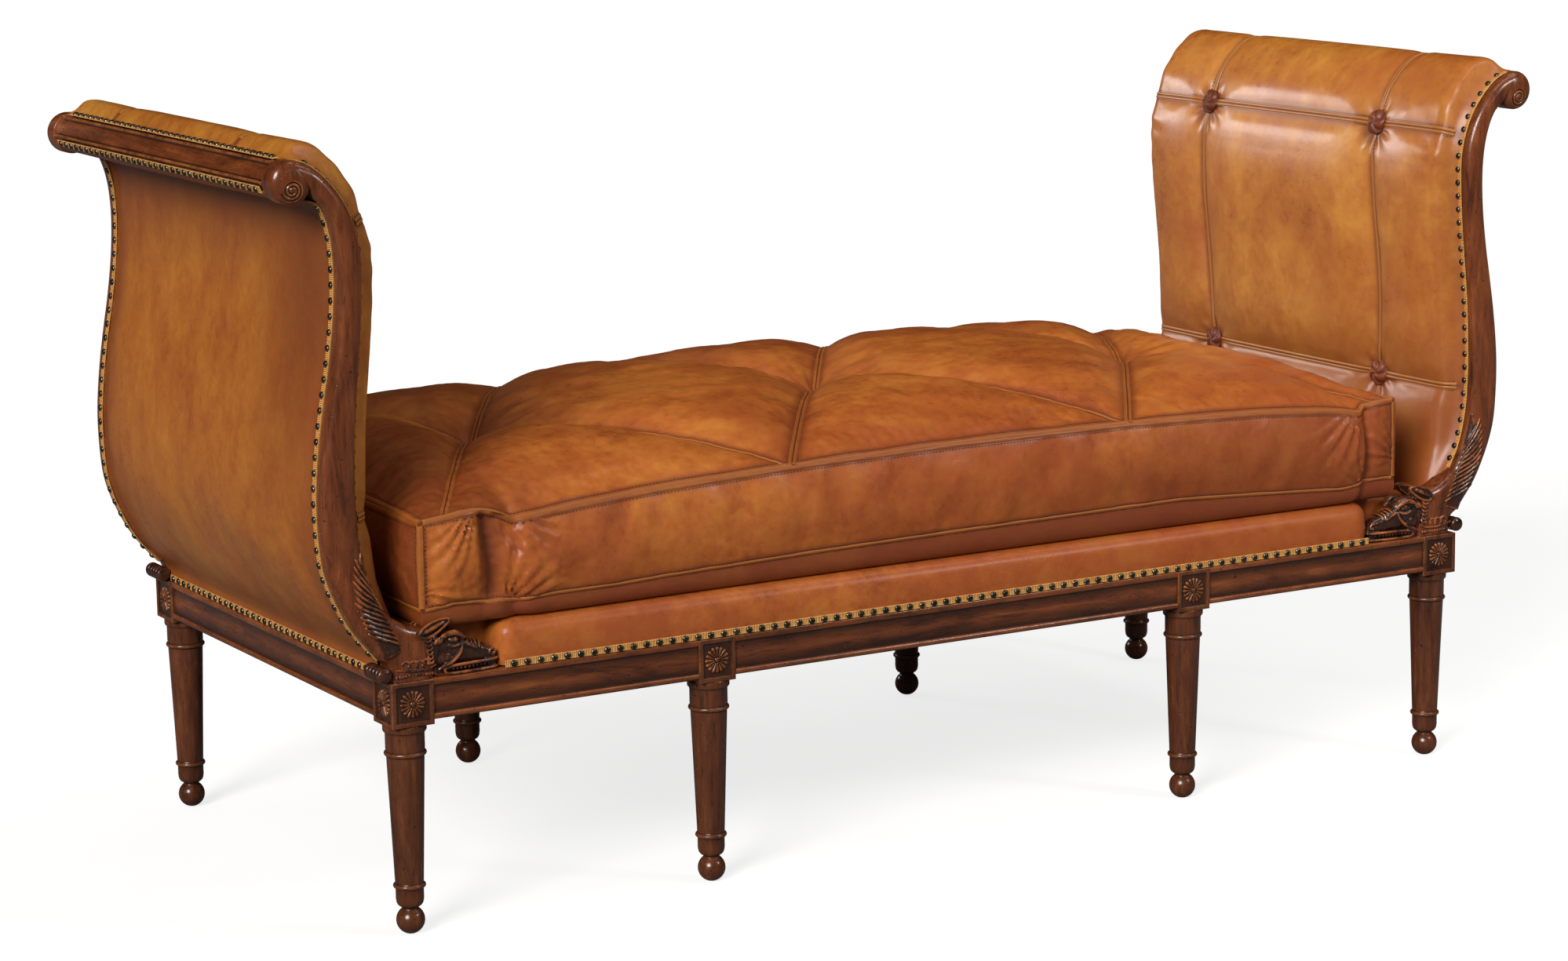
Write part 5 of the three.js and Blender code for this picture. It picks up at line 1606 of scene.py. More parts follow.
def deck_form(half_length, half_depth, corner, round_radius, top, sag):
    """A slab whose sides swell a little and whose top edge is round."""
    form = Form()
    profile = [(0.8, DECK_BOTTOM), (0.2, DECK_BOTTOM + 5)]
    profile += [(-1.2 * math.sin(math.pi * t), DECK_BOTTOM + 5 + (top - round_radius - DECK_BOTTOM - 5) * t)
                for t in (0.3, 0.6, 0.9)]
    profile += [(round_radius * (1 - math.cos(t)), top - round_radius + round_radius * math.sin(t))
                for t in np.linspace(0.1, math.pi / 2, 10)]
    profile += [(round_radius + 10, top + sag * 0.2), (round_radius + 30, top + sag * 0.5)]
    profile += [(half_depth * 0.35, top + sag * 0.9), (half_depth * 0.7, top + sag)]
    profile += [(half_depth - 2, top + sag)]
    rings = []
    for inset, height in profile:
        ring = rounded_plan(half_length, half_depth, corner, inset)
        rings.append(np.column_stack([ring, np.full(len(ring), height)]))
    lofted(form, rings)
    return form


DECK_SAG = -1.5
TONGUE_HALF_LENGTH = 777
TONGUE_HALF_DEPTH = 335
deck = deck_form(DECK_HALF_LENGTH, DECK_FACE, 22, 21, DECK_TOP, DECK_SAG)
deck.join(deck_form(TONGUE_HALF_LENGTH, TONGUE_HALF_DEPTH, 12, 11, DECK_TOP - 1.2, DECK_SAG))
piece("fixed_seat_pad", deck, seat_leather, ["seat_pad"], crease=60)


# Webbing below the seat, woven over and under

WEB_HALF = 25


def web_strip(form, along, cross_places, middle, reach, over):
    """One web along x (0) or y (1) that weaves over and under the webs that it crosses."""
    steps = np.linspace(-reach, reach, 220)
    lift = 0 * steps
    for k, where in enumerate(cross_places):
        lift += (0.55 if (k + over) % 2 else -0.15) * ease(42, 20, np.abs(steps - where))
    level = SEAT_TOP + 0.35 + lift * 0.6
    rings = []
    half = WEB_HALF
    section = [(-half, 0), (-half, 0.5), (-half + 1.5, 0.85), (half - 1.5, 0.85), (half, 0.5), (half, 0)]
    for s, z in zip(steps, level):
        rings.append([[s, middle + a, z + b] if along == 0 else [middle + a, s, z + b] for a, b in section])
    lofted(form, rings, 0, np.repeat(steps, len(section)))


webbing = Form()
long_webs = [-220, 0, 220]
cross_webs = [k * 180 for k in range(-3, 4)]
for k, y in enumerate(long_webs):
    web_strip(webbing, 0, cross_webs, y, TONGUE_HALF_LENGTH, k)
for k, x in enumerate(cross_webs):
    web_strip(webbing, 1, long_webs, x, 376, k + 1)
piece("woven_seat_webbing", webbing, jute_web, ["seat_webbing"], weld=0)


# Loose cushion: two covers joined by a boxing, pulled down to three tufts along crossed seams

TUFTS = [-525, 4, 522]
SEAM_ENDS = {-1: [-749, -258, 265, 690], 1: [-752, -277, 255, 700]}
FRONT_TOP_SEAM = [
    (-782, 521), (-762, 523.5), (-745, 525), (-727, 527.5), (-702, 527.5), (-680, 523), (-666, 517.5),
    (-651, 510), (-638, 512.5), (-601, 516), (-569, 519), (-505, 524), (-439, 528), (-257, 535),
    (0, 539), (258, 538), (490, 531), (590, 523.5), (628, 519), (652, 514.5), (658, 514.5), (665, 521),
    (690, 525), (722, 527)
]
FRONT_LOW_SEAM = [
    (-782, 408), (-762, 409), (-737, 412), (-712, 411), (-687, 407.5), (-670, 409), (-654, 405),
    (-636, 406), (-600, 408.5), (-508, 408.5), (-442, 411), (-200, 416), (357, 421), (491, 414),
    (629, 406), (645, 408), (664, 412), (706, 413), (722, 411)
]
BACK_TOP_SEAM = [(-782, 523), (-560, 520), (-200, 535), (60, 540), (400, 533), (600, 522), (722, 526)]
BACK_LOW_SEAM = [(-782, 410), (-300, 415), (200, 418), (722, 411)]
CUSHION_COLUMNS = 138
CUSHION_ROWS = 71
BOXING_ROWS = 13
CUSHION_FINE = 3
UNDER_ROUND = 15


def along_seam(knots, x):
    knots = floats(knots)
    return np.interp(x, knots[:, 0], knots[:, 1])


def seams_from(i):
    """The four seams of a tuft: their edge (-1 front, 1 back), side (-1 left, 1 right) and end."""
    for edge, ends in SEAM_ENDS.items():
        yield edge, -1, ends[i]
        yield edge, 1, ends[i + 1]


def ray_from_tuft(x, y, tuft, end, edge):
    """Share of the way from a tuft to the end of its seam, and the distance beside it."""
    run = np.array([end - tuft, edge * CUSHION_HALF_DEPTH])
    share = np.clip(((x - tuft) * run[0] + y * run[1]) / (run @ run), 0, 1)
    return share, np.hypot(x - tuft - run[0] * share, y - run[1] * share)


def is_wide(side, edge):
    """The seams that run from front left to back right are wide ones, the others are thin."""
    return side == edge


def tuft_dips(x, y):
    """How deep the tufts and their seams pull the cover down."""
    dip = 0 * x
    for i, tuft in enumerate(TUFTS):
        away = np.hypot(x - tuft, y)
        sink = 27 * np.exp(-((away / 98) ** 1.5)) + 9 * np.exp(-((away / 20) ** 2))
        valley = sink
        for edge, side, end in seams_from(i):
            share, beside = ray_from_tuft(x, y, tuft, end, edge)
            deep = (17 if is_wide(side, edge) else 14) * (1 - share) ** 0.6 + 4
            spread = 40 - 14 * share
            valley = np.maximum(valley, sink + deep * np.exp(-((beside / spread) ** 1.25)))
        dip = np.maximum(dip, valley)
    return dip


def cushion_plan(u, v):
    """The place from above of shares u and v, -1 to 1, with rounded sides and the notches of the front."""
    x = CUSHION_X + u * CUSHION_HALF_LENGTH - 7 * (1 - v * v) * np.abs(u) ** 8 * np.sign(u)
    y = v * CUSHION_HALF_DEPTH - 6 * (1 - u * u) * np.abs(v) ** 8 * np.sign(v)
    notch = 8 * bump(x, -652, 13) + 3 * bump(x, -694, 16) + 7 * ease(655, 666, x)
    y = y + notch * np.where(v < 0, np.abs(v) ** 10, 0)
    return x, y


def cushion_top(u, v):
    x, y = cushion_plan(u, v)
    front, back = along_seam(FRONT_TOP_SEAM, x), along_seam(BACK_TOP_SEAM, x)
    seam = front + (back - front) * ease(-1, 1, v)
    plain = along_seam(BACK_TOP_SEAM, x)
    seam = plain + (seam - plain) * np.maximum(np.abs(v) ** 4, np.abs(u) ** 12)
    rise = (1 - np.abs(v) ** 3.0) * (1 - np.abs(u) ** 14)
    fade = 1 - np.maximum(np.abs(u) ** 24, np.abs(v) ** 9)
    return np.stack([x, y, seam + CROWN * rise - tuft_dips(x, y) * fade], -1)


def cushion_low_seam(u, v):
    x, y = cushion_plan(u, v)
    front, back = along_seam(FRONT_LOW_SEAM, x), along_seam(BACK_LOW_SEAM, x)
    return np.stack([x, y, front + (back - front) * ease(-1, 1, v)], -1)


def cushion_bottom(u, v):
    """The flat underside, which begins a little way in from the lower seam."""
    x, y = cushion_plan(u, v)
    x = CUSHION_X + (x - CUSHION_X) * (1 - UNDER_ROUND / CUSHION_HALF_LENGTH)
    return np.stack([x, y * (1 - UNDER_ROUND / CUSHION_HALF_DEPTH), 0 * x + DECK_TOP + 0.4], -1)


def under_round(seam, floor):
    """The round below the lower seam, down to where the cushion rests."""
    turn = np.linspace(0, math.pi / 2, 6)[:, None]
    run = floor - seam
    inward = 1 - np.cos(turn) - 0.12 * np.sin(2 * turn)
    shares = (inward, inward, np.sin(turn))
    return np.stack([seam[:, k] + run[:, k] * share for k, share in enumerate(shares)], -1)


def boxing(upper, lower, out, push):
    """A band between two seams; push says how far it stands out at each place."""
    share = np.linspace(0, 1, BOXING_ROWS)[:, None]
    grid = upper[None] + (lower - upper)[None] * share[..., None]
    return grid + floats(out) * push(grid, share)[..., None]


def plain_push(grid, share):
    along = np.linspace(0, 1, grid.shape[1])
    return 7 * np.sin(math.pi * share) ** 0.8 * ease(0, 0.06, along) * ease(1, 0.94, along)


def front_push(grid, share):
    """The front band swells, with a deep fold near each end."""
    x = grid[..., 0]
    swell = np.sin(math.pi * share) ** 0.7
    push = 8 * swell * ease(-782, -740, x) * ease(722, 690, x)
    push = push + 3.5 * bump(x, -738, 20) * swell
    fold = x + 690 - 10 * (share - 0.5)
    push = push - 21 * np.exp(-((fold / np.where(fold < 0, 8, 24)) ** 2)) * np.sin(math.pi * share) ** 0.35
    push = push - 6 * bump(x, -672 + 60 * share, 8) * ease(0.55, 0.2, share)
    push = push - 9 * bump(x, 664 + 4 * share, 9) * swell**0.5
    return push + 2.5 * bump(x, 640, 30) * swell


u_grid, v_grid = np.meshgrid(np.linspace(-1, 1, CUSHION_COLUMNS), np.linspace(-1, 1, CUSHION_ROWS))
cushion_cover = cushion_top(u_grid, v_grid)
low_seam = cushion_low_seam(u_grid, v_grid)
cushion_under = cushion_bottom(u_grid, v_grid)
FRONT, BACK, LEFT, RIGHT = 2, 3, 4, 5
BOXINGS = (
    (0, (0, -1, 0), front_push),
    (-1, (0, 1, 0), plain_push),
    ((slice(None), 0), (-1, 0, 0), plain_push),
    ((slice(None), -1), (1, 0, 0), plain_push),
)
cushion_grids = [cushion_cover, cushion_under]
cushion_grids += [boxing(cushion_cover[edge], low_seam[edge], out, push) for edge, out, push in BOXINGS]
cushion_grids += [under_round(low_seam[edge], cushion_under[edge]) for edge, _, _ in BOXINGS]


def edges_held(grid):
    held = np.zeros(grid.shape[:2])
    held[[0, -1]] = 1
    held[:, [0, -1]] = 1
    return held


def cover_held(grid):
    x, y = grid[..., 0], grid[..., 1]
    held = edges_held(grid)
    for i, tuft in enumerate(TUFTS):
        held = np.maximum(held, np.hypot(x - tuft, y) < 17)
        for edge, _, end in seams_from(i):
            beside = ray_from_tuft(x, y, tuft, end, edge)[1]
            held = np.maximum(held, (beside < 6) * 1.0)
    return held


cushion_held = [cover_held(cushion_cover), *all_held([cushion_under])]
cushion_held += [edges_held(grid) for grid in cushion_grids[2:6]]
cushion_held += all_held(cushion_grids[6:])
cushion_grids = stuffed(cushion_grids, cushion_held, cap=8, pressure=4.0, slack=0.02, calm=7)
cushion_grids = [refine(grid, CUSHION_FINE) for grid in cushion_grids]


def fan(across, up, center, direction, width, count, reach, depth, turn=0.0):
    """Creases that spread from a point, like the folds of gathered leather."""
    away = np.hypot(across - center[0], up - center[1])
    angle = np.arctan2(up - center[1], across - center[0]) - math.radians(direction)
    angle = (angle + math.pi) % (2 * math.pi) - math.pi
    window = np.exp(-((angle / math.radians(width)) ** 4))
    wave = np.sin(angle * count + turn + 0.8 * np.sin(away / 17 + turn))
    wave = wave - 0.35 * np.sin(angle * count * 2.3 + turn)
    return depth * wave * window * ease(0, 0.16, away / reach) * ease(1, 0.3, away / reach)


def ripples(across, up, size, depth, seed):
    """Fine wandering creases in the leather."""
    draw = random.Random(seed)
    total = 0 * across
    for _ in range(7):
        turn, phase = draw.uniform(0, math.pi), draw.uniform(0, 6)
        wave = draw.uniform(0.7, 1.5) * 2 * math.pi / size
        line = across * math.cos(turn) + up * math.sin(turn)
        side = up * math.cos(turn) - across * math.sin(turn)
        total = total + np.sin(line * wave + phase + 1.6 * np.sin(side * wave * 0.31 + phase))
    return depth * np.tanh(total / 2)


TUFT_FANS = [(0, 70, 9, 150, 1.5, 0.4), (180, 70, 10, 190, 1.7, 1.1), (-90, 50, 12, 110, 1.0, 2.0),
             (90, 50, 11, 120, 1.0, 2.7)]
FRONT_FANS = [
    ((-700, 540), -128, 24, 30, 135, 2.6, 0.6), ((-795, 436), -28, 30, 22, 105, 1.9, 2.1),
    ((-655, 520), -40, 40, 21, 95, 2.2, 0.2), ((-668, 396), 52, 48, 22, 105, 2.2, 1.4),
    ((654, 522), -125, 36, 20, 125, 1.9, 0.9), ((728, 440), 140, 40, 18, 90, 2.0, 0.3),
    ((660, 402), 112, 40, 20, 90, 1.7, 1.9)
]


def cover_creases(x, y):
    """Creases of the top: fans from each tuft and ripples towards the edges."""
    lift = 0 * x
    for k, tuft in enumerate(TUFTS):
        for *spread, turn in TUFT_FANS:
            lift += fan(x, y, (tuft, 0), *spread, turn + k)
    near_edge = ease(CUSHION_HALF_DEPTH - 75, CUSHION_HALF_DEPTH - 25, np.abs(y))
    edge_out = ease(CUSHION_HALF_DEPTH - 3, CUSHION_HALF_DEPTH - 16, np.abs(y))
    corner = ease(560, 700, np.abs(x - CUSHION_X))
    lift += ripples(x, y, 26, 0.5, 5) * (0.35 + 0.5 * near_edge + 0.8 * corner) * edge_out
    return lift + ripples(x * 0.6, y, 80, 1.1, 6) * edge_out


def front_creases(x, z):
    """Creases of the front band: gathers at both folds and ripples."""
    lift = 0 * x
    for spread in FRONT_FANS:
        lift += fan(x, z, *spread)
    puckered = 0.3 + 1.1 * ease(-520, -670, x) + 0.9 * ease(520, 660, x)
    lift += ripples(x, z, 15, 0.4, 11) * puckered
    return lift + ripples(x, z * 0.5, 60, 0.9, 12)


def painted_shade_near_tufts(x, y):
    """Painted shade down in the tufts and beside their seams."""
    shade = 0.6 * np.clip(tuft_dips(x, y) / 62, 0, 1) ** 1.5
    for i, tuft in enumerate(TUFTS):
        shade = np.maximum(shade, 0.9 * np.exp(-((np.hypot(x - tuft, y) / 20) ** 2)))
        for edge, side, end in seams_from(i):
            beside = ray_from_tuft(x, y, tuft, end, edge)[1]
            reach = 11 if is_wide(side, edge) else 8
            shade = np.maximum(shade, 0.62 * np.exp(-((beside / reach) ** 2)))
    return shade


EDGE_SHADE = 0.85
UNDER_SHADE = 0.45
outward = [1, -1, -1, 1, 1, -1, -1, 1, 1, -1]
cushion_sheets, cushion_shades = [], []
for k, grid in enumerate(cushion_grids):
    x, y, z = grid[..., 0], grid[..., 1], grid[..., 2]
    column, row = np.meshgrid(np.arange(grid.shape[1]), np.arange(grid.shape[0]))
    from_edge = np.minimum(np.minimum(column, row), np.minimum(column[:, ::-1], row[::-1]))
    keep = ease(0, 3, from_edge)
    # Painted shade along the sewn edges of each grid.
    edge_painted_shade = EDGE_SHADE * ease(5 if k == 0 else 4, 0, from_edge)
    if k == 0:
        lift = cover_creases(x, y) * keep
        # Painted shadow of the arm over the left end, and painted shade towards the back.
        left_end_painted_shadow, far_side_painted_shade = 0.45 * ease(-520, -760, x), 0.42 * ease(0, 300, y)
        shade = darkest(painted_shade_near_tufts(x, y), left_end_painted_shadow, far_side_painted_shade, edge_painted_shade)
    elif k == FRONT:
        lift = front_creases(x, z) * keep
        # Painted shade in the two deep folds and along the lower part of the band; also darker towards its
        # right end.
        folds = 0.5 * bump(x, -684, 14) + 0.25 * bump(x, 664, 12)
        right_part = 0.22 * ease(-100, 600, x) * ease(600, 480, z)
        shade = darkest(folds, 0.3 * ease(430, 405, z), right_part, edge_painted_shade)
    elif k in (BACK, LEFT, RIGHT):
        along = x if k == BACK else y
        lift = ripples(along, z, 22, 0.45, 20 + k) * keep + ripples(along, z, 70, 0.9, 30 + k) * keep
        # Painted shade on the end bands, which face the arms; none on the back band.
        shade = darkest(0 * x + (0.0 if k == BACK else 0.5), edge_painted_shade)
    else:
        # Painted shade under the cushion.
        lift, shade = 0 * x, 0 * x + UNDER_SHADE
    grid = grid + Sheet(grid, outward[k]).normals * lift[..., None]
    cushion_grids[k] = grid
    cushion_sheets.append(Sheet(grid, outward[k]))
    cushion_shades.append(shade)

cushion, cushion_thread = Form(), Form()
cover(cushion, cushion_grids, cushion_shades)


def edge_line(sheet, edge, inset, count, start=0.0, end=1.0):
    """A line beside one edge of a sheet: top, low, left or right, inset in millimetres."""
    along = np.linspace(start, end, count)
    grid = sheet.grid
    high = np.linalg.norm(grid[0, grid.shape[1] // 2] - grid[-1, grid.shape[1] // 2])
    wide = np.linalg.norm(grid[grid.shape[0] // 2, 0] - grid[grid.shape[0] // 2, -1])
    row = {"top": inset / high, "low": 1 - inset / high}.get(edge)
    column = {"left": inset / wide, "right": 1 - inset / wide}.get(edge)
    return sheet.at(along * 0 + row, along) if column is None else sheet.at(along, along * 0 + column)


BOXING_FOLD = [(-1, -0.2), (-0.92, 0.55), (-0.5, 1), (0.4, 0.9), (0.85, 0.6), (1, -0.2)]
# Painted shade along both sides of each turned edge's fold, and a little on its top.
FOLD_SHADES = [1, 0.75, 0.3, 0.3, 0.8, 1]


def sewn_edge(sheet, edge, count, half=3.4, rise=1.5, thread_inset=8.6, start=0.0, end=1.0):
    """The turned edge of a cover: a raised fold along the seam and a row of stitches beside it."""
    points, normals = edge_line(sheet, edge, half + 0.5, count, start, end)
    ribbon(cushion, points, normals, [(a * half, b * rise) for a, b in BOXING_FOLD], FOLD_SHADES)
    stitches(cushion_thread, *edge_line(sheet, edge, thread_inset, count, start, end), 0.0, 5.0)


top_sheet, _, front_sheet, back_sheet, left_sheet, right_sheet = cushion_sheets[:6]
for edge, count in (("top", 420), ("low", 420), ("left", 220), ("right", 220)):
    sewn_edge(top_sheet, edge, count, 3.0, 1.1, 8.2, 0.004, 0.996)
for sheet, count in ((front_sheet, 420), (back_sheet, 420), (left_sheet, 220), (right_sheet, 220)):
    sewn_edge(sheet, "top", count, 3.6, 1.7, 8.8, 0.004, 0.996)
    sewn_edge(sheet, "low", count, 2.6, 1.2, 7.0, 0.004, 0.996)
    for edge in ("left", "right"):
        sewn_edge(sheet, edge, 40, 3.0, 1.6, 8.0, 0.05, 0.95)


def cover_place(x, y):
    """Shares of the top cover's rows and columns above a point."""
    x, y = floats(x), floats(y)
    u, v = (x - CUSHION_X) / CUSHION_HALF_LENGTH, y / CUSHION_HALF_DEPTH
    for _ in range(12):
        here_x, here_y = cushion_plan(u, v)
        u, v = u + (x - here_x) / CUSHION_HALF_LENGTH, v + (y - here_y) / CUSHION_HALF_DEPTH
        u, v = np.clip(u, -1, 1), np.clip(v, -1, 1)
    return (v + 1) / 2, (u + 1) / 2


steps = np.linspace(0.022, 0.985, 130)
for i, tuft in enumerate(TUFTS):
    for edge, side, end in seams_from(i):
        place = cover_place(tuft + (end - tuft) * steps, edge * CUSHION_HALF_DEPTH * steps)
        points, normals = top_sheet.at(*place)
        if is_wide(side, edge):
            double_welt(cushion, cushion_thread, points, normals, 5.4, 1.6)
        else:
            single_seam(cushion, cushion_thread, points, normals, edge, 2.2, 1.2)
piece("tufted_seat_cushion", cushion, seat_leather, ["seat_cushion"], crease=60)
piece("cushion_stitches", cushion_thread, thread, weld=0)


# Carved heads at the feet of the stiles, drawn by length from the joint, depth from the face and height

HEAD_DEPTH = STILE_FRONT - STILE_BACK


def ring_at(form, center, radius, thick, plane, sides=20):
    """A round rim; plane is 0, 1 or 2 for the way that its opening faces."""
    turn = np.arange(sides + 1) * 2 * math.pi / sides
    flat = [k for k in (0, 1, 2) if k != plane]
    path = np.tile(floats(center), (sides + 1, 1))
    path[:, flat[0]] += radius * np.cos(turn)
    path[:, flat[1]] += radius * np.sin(turn)
    up = [0.0, 0.0, 0.0]
    up[plane] = 1.0
    tube(form, path, thick, 8, up=up)


def strand(form, knots, thick, flat=0.8, count=26, blunt=0.35):
    """A lock of hair or a leaf rib: thick in its middle and thin at its ends."""
    path = spline(knots, count)
    t = np.linspace(0, 1, count)
    tube(form, path, thick * (blunt + (1 - blunt) * np.sin(math.pi * np.clip(t, 0.02, 0.98)) ** 0.7), 9,
         flat=flat, up=(0, 1, 0))


SNOUT_LENGTHS = [18, 28, 36, 45, 55, 65, 74, 81, 85, 87.5]
SNOUT_TOPS = [52, 49.5, 45.5, 41.5, 37.8, 34.6, 31.4, 27, 22, 17.5]
SNOUT_HALVES = [15.2, 15, 14.6, 14.2, 13.6, 12.8, 11.4, 9, 6, 2.5]
LIP_HEIGHT = 12.6


def snout_rings():
    """The long upper jaw: round above, flatter at its sides, ending in a blunt nose."""
    rings = []
    turn = full_turn(28)
    lengths = np.linspace(SNOUT_LENGTHS[0], SNOUT_LENGTHS[-1], 26)
    for length in lengths:
        top = np.interp(length, SNOUT_LENGTHS, SNOUT_TOPS)
        half = np.interp(length, SNOUT_LENGTHS, SNOUT_HALVES)
        middle, tall = (top + LIP_HEIGHT - 1.5) / 2, (top - LIP_HEIGHT + 1.5) / 2
        round_x = np.sign(np.cos(turn)) * np.abs(np.cos(turn)) ** 0.8
        round_z = np.sign(np.sin(turn)) * np.abs(np.sin(turn)) ** 0.85
        depth, height = HEAD_DEPTH / 2 + half * round_x, middle + tall * round_z
        rings.append(np.stack([0 * turn + length, depth, height], -1))
    return rings


def carved_face(form, face):
    """The carving of one face of the head: -1 or 1. Depths are measured in from that face."""
    def near(depth):
        return HEAD_DEPTH / 2 + face * (HEAD_DEPTH / 2 - depth)

    def lock(knots, *look):
        strand(form, [(length, near(depth), height) for length, depth, height in knots], *look)

    def lump(length, depth, height, radii, sides=24, rows=14):
        ball(form, (length, near(depth), height), radii, sides=sides, rows=rows)

    # Brow and eye
    lock([(38, 3.4, 44.5), (33, 1.2, 50), (24, 0.2, 53.5), (13, 0.8, 51), (6, 1.8, 47)], 3.9, 1, 30, 0.5)
    lump(37.5, 2.8, 45.5, (3.4, 2.6, 3.4), 14, 10)
    lock([(35, 2.2, 39.5), (29, 1.2, 36.5), (21, 0.8, 36.5), (13, 1.4, 39.5)], 2.0)
    lump(24.5, 3.0, 44.6, (7.4, 4.4, 4.4))
    lump(25.5, -0.6, 44.8, (1.7, 1.3, 1.7), 10, 8)
    for k in range(3):
        lock([(8 - 3.4 * k, 0.6, 51 - k), (7.5 - 3.4 * k, -0.4, 46), (4 - 3 * k, 0.4, 41)], 2.0, 1, 20, 0.4)
    # Cheek, muzzle and nostril
    lock([(3, 1.6, 9), (9, 0.2, 12.5), (20, -0.2, 17), (29, 0.4, 23), (35, 1.6, 30), (37, 3, 36)],
         2.7, 1, 40, 0.35)
    lock([(40, 2.6, 38), (46, 2.2, 35.5), (52, 2.2, 32.4), (57, 2.8, 29.4)], 2.0, 1, 30, 0.5)
    for k in range(4):
        lump(42 + 4.6 * k, 1.9, 38.8 - 2.6 * k, (2.3, 1.6, 2.1), 12, 8)
    ring_at(form, (79.5, near(6.6), 21.5), 3.2, 1.5, 1, 14)
    lock([(74, 4.6, 20), (76, 4.4, 25.4), (82, 6.4, 26.4)], 1.7)
    # Lips and teeth
    lock([(88, 13, 13.2), (84, 7.4, 12.6), (66, 2.8, 12.6), (44, 1.2, 12.6), (24, 0.2, 12), (14, 0.2, 10.4),
          (11.4, 0.8, 7)], 2.2, 1, 56, 0.8)
    lock([(88, 12, 2.8), (83, 6.4, 2.6), (60, 2.4, 2.4), (32, 0.8, 2.4), (16, 0.2, 3.2), (11.4, 0.8, 7)],
         2.1, 1, 56, 0.8)
    for k in range(12):
        length = 18 + 5.5 * k
        depth = near(np.interp(length, [14, 44, 66, 84], [2.4, 3.2, 4.8, 9.0]))
        tooth = [(length, depth, 10.8), (length + 0.3, depth, 7.8), (length + 0.4, depth, 5.6)]
        tube(form, tooth, [1.9, 1.7, 0.7], 8, up=(0, 1, 0))
    # Ear
    turn = np.linspace(0, 2 * math.pi, 41)
    tilt = math.radians(24)
    long, wide = 21.5 * np.cos(turn), 7.2 * np.sin(turn) * (1 - 0.28 * np.cos(turn))
    rim = np.stack([-1.5 + long * math.cos(tilt) - wide * math.sin(tilt), 0 * turn + near(-0.2),
                    62.5 + long * math.sin(tilt) + wide * math.cos(tilt)], -1)
    tube(form, rim, 1.9, 8, up=(0, 1, 0))
    leaf = rim[:-1].copy()
    leaf[:, 1] = near(1.8)
    back = leaf.copy()
    back[:, 1] = near(6.0)
    lofted(form, [leaf, back])
    lock([(-20, 0.6, 55.5), (-6, -1.2, 62.5), (6, -1.0, 67.4), (15, 0.6, 70)], 3.4, 1, 30, 0.3)
    # Neck: scales, curls and a beaded band
    for k in range(6):
        top, wide, middle = 48 - 5.4 * k, 6.6 - 0.6 * k, -11 + 0.9 * k
        inner = wide * 0.45
        lock([(middle - wide, 0.6, top + 2.6), (middle - inner, -0.8, top - 1.4),
              (middle + inner, -0.8, top - 1.4), (middle + wide, 0.8, top + 2.6)], 1.6)
    turn = np.linspace(-2.6, 2.4, 18)
    for length, height, radius in ((-14, 21, 4.4), (-22, 19.5, 5), (-31, 19.5, 5.4), (-41, 20.5, 5)):
        curl = np.stack([length + radius * np.sin(turn) * (1 - 0.08 * turn), 0 * turn + near(-0.3),
                         height + radius * 0.9 * np.cos(turn)], -1)
        tube(form, curl, np.linspace(0.9, 2.2, 18), 8, flat=0.9, up=(0, 1, 0))
    lock([(1, 0.8, 17), (-12, -0.4, 12.4), (-32, -0.5, 12), (-54, 0.6, 15.5)], 1.8, 0.9, 34, 0.6)
    for k in range(12):
        lump(-5 - 4.4 * k, 0.2, 6.4, (1.9, 1.5, 2.6), 10, 8)


def head_form():
    """The carved head: skull, cheek and neck, both jaws, wrinkles over the snout and two faces."""
    form = Form()
    middle = HEAD_DEPTH / 2
    ball(form, (16, middle, 40), (24, 15.6, 19))
    ball(form, (14, middle, 23), (19, 17.2, 13))
    ball(form, (-2, middle, 34), (13, 15.8, 28))
    lofted(form, snout_rings())
    for length, reach in ((44, 8.5), (49.5, 9), (55, 8.6), (60, 7.8)):
        top = np.interp(length, SNOUT_LENGTHS, SNOUT_TOPS)
        half = np.interp(length, SNOUT_LENGTHS, SNOUT_HALVES)
        turn = np.linspace(0.15, math.pi - 0.15, 18)
        height = top - reach + reach * np.sin(turn)
        arch = np.stack([length + 2.5 * np.sin(turn), middle - half * np.cos(turn), height], -1)
        tube(form, arch, 1.7 * np.sin(np.linspace(0.3, math.pi - 0.3, 18)), 8, up=(1, 0, 0))
    # The jaw block also fills the mouth from behind between the lips; the head's shade mark paints its
    # front dark there as painted shade.
    lower_jaw = ((2, 0.2), (84, 0.2), (85, 3), (84, 11), (6, 13), (0, 8))
    lofted(form, [[(length, depth, height) for length, height in lower_jaw] for depth in (8, 25)])
    for face in (-1, 1):
        carved_face(form, face)
    return form


def stile_face(lift, along, across):
    """A point on the stile's rounded face: a share along its inner edge, millimetres in from it."""
    inner = on_path(pad_path, along)
    out = -on_path(pad_normal, along)
    wide = 40.0
    depth = round_front(np.clip(floats(across) / wide, 0, 0.5))
    return np.stack([inner[..., 0] + out[..., 0] * across, -STILE_FRONT + depth + lift,
                     inner[..., 1] + out[..., 1] * across], -1)


MANE_LOW, MANE_HIGH = 372, 452


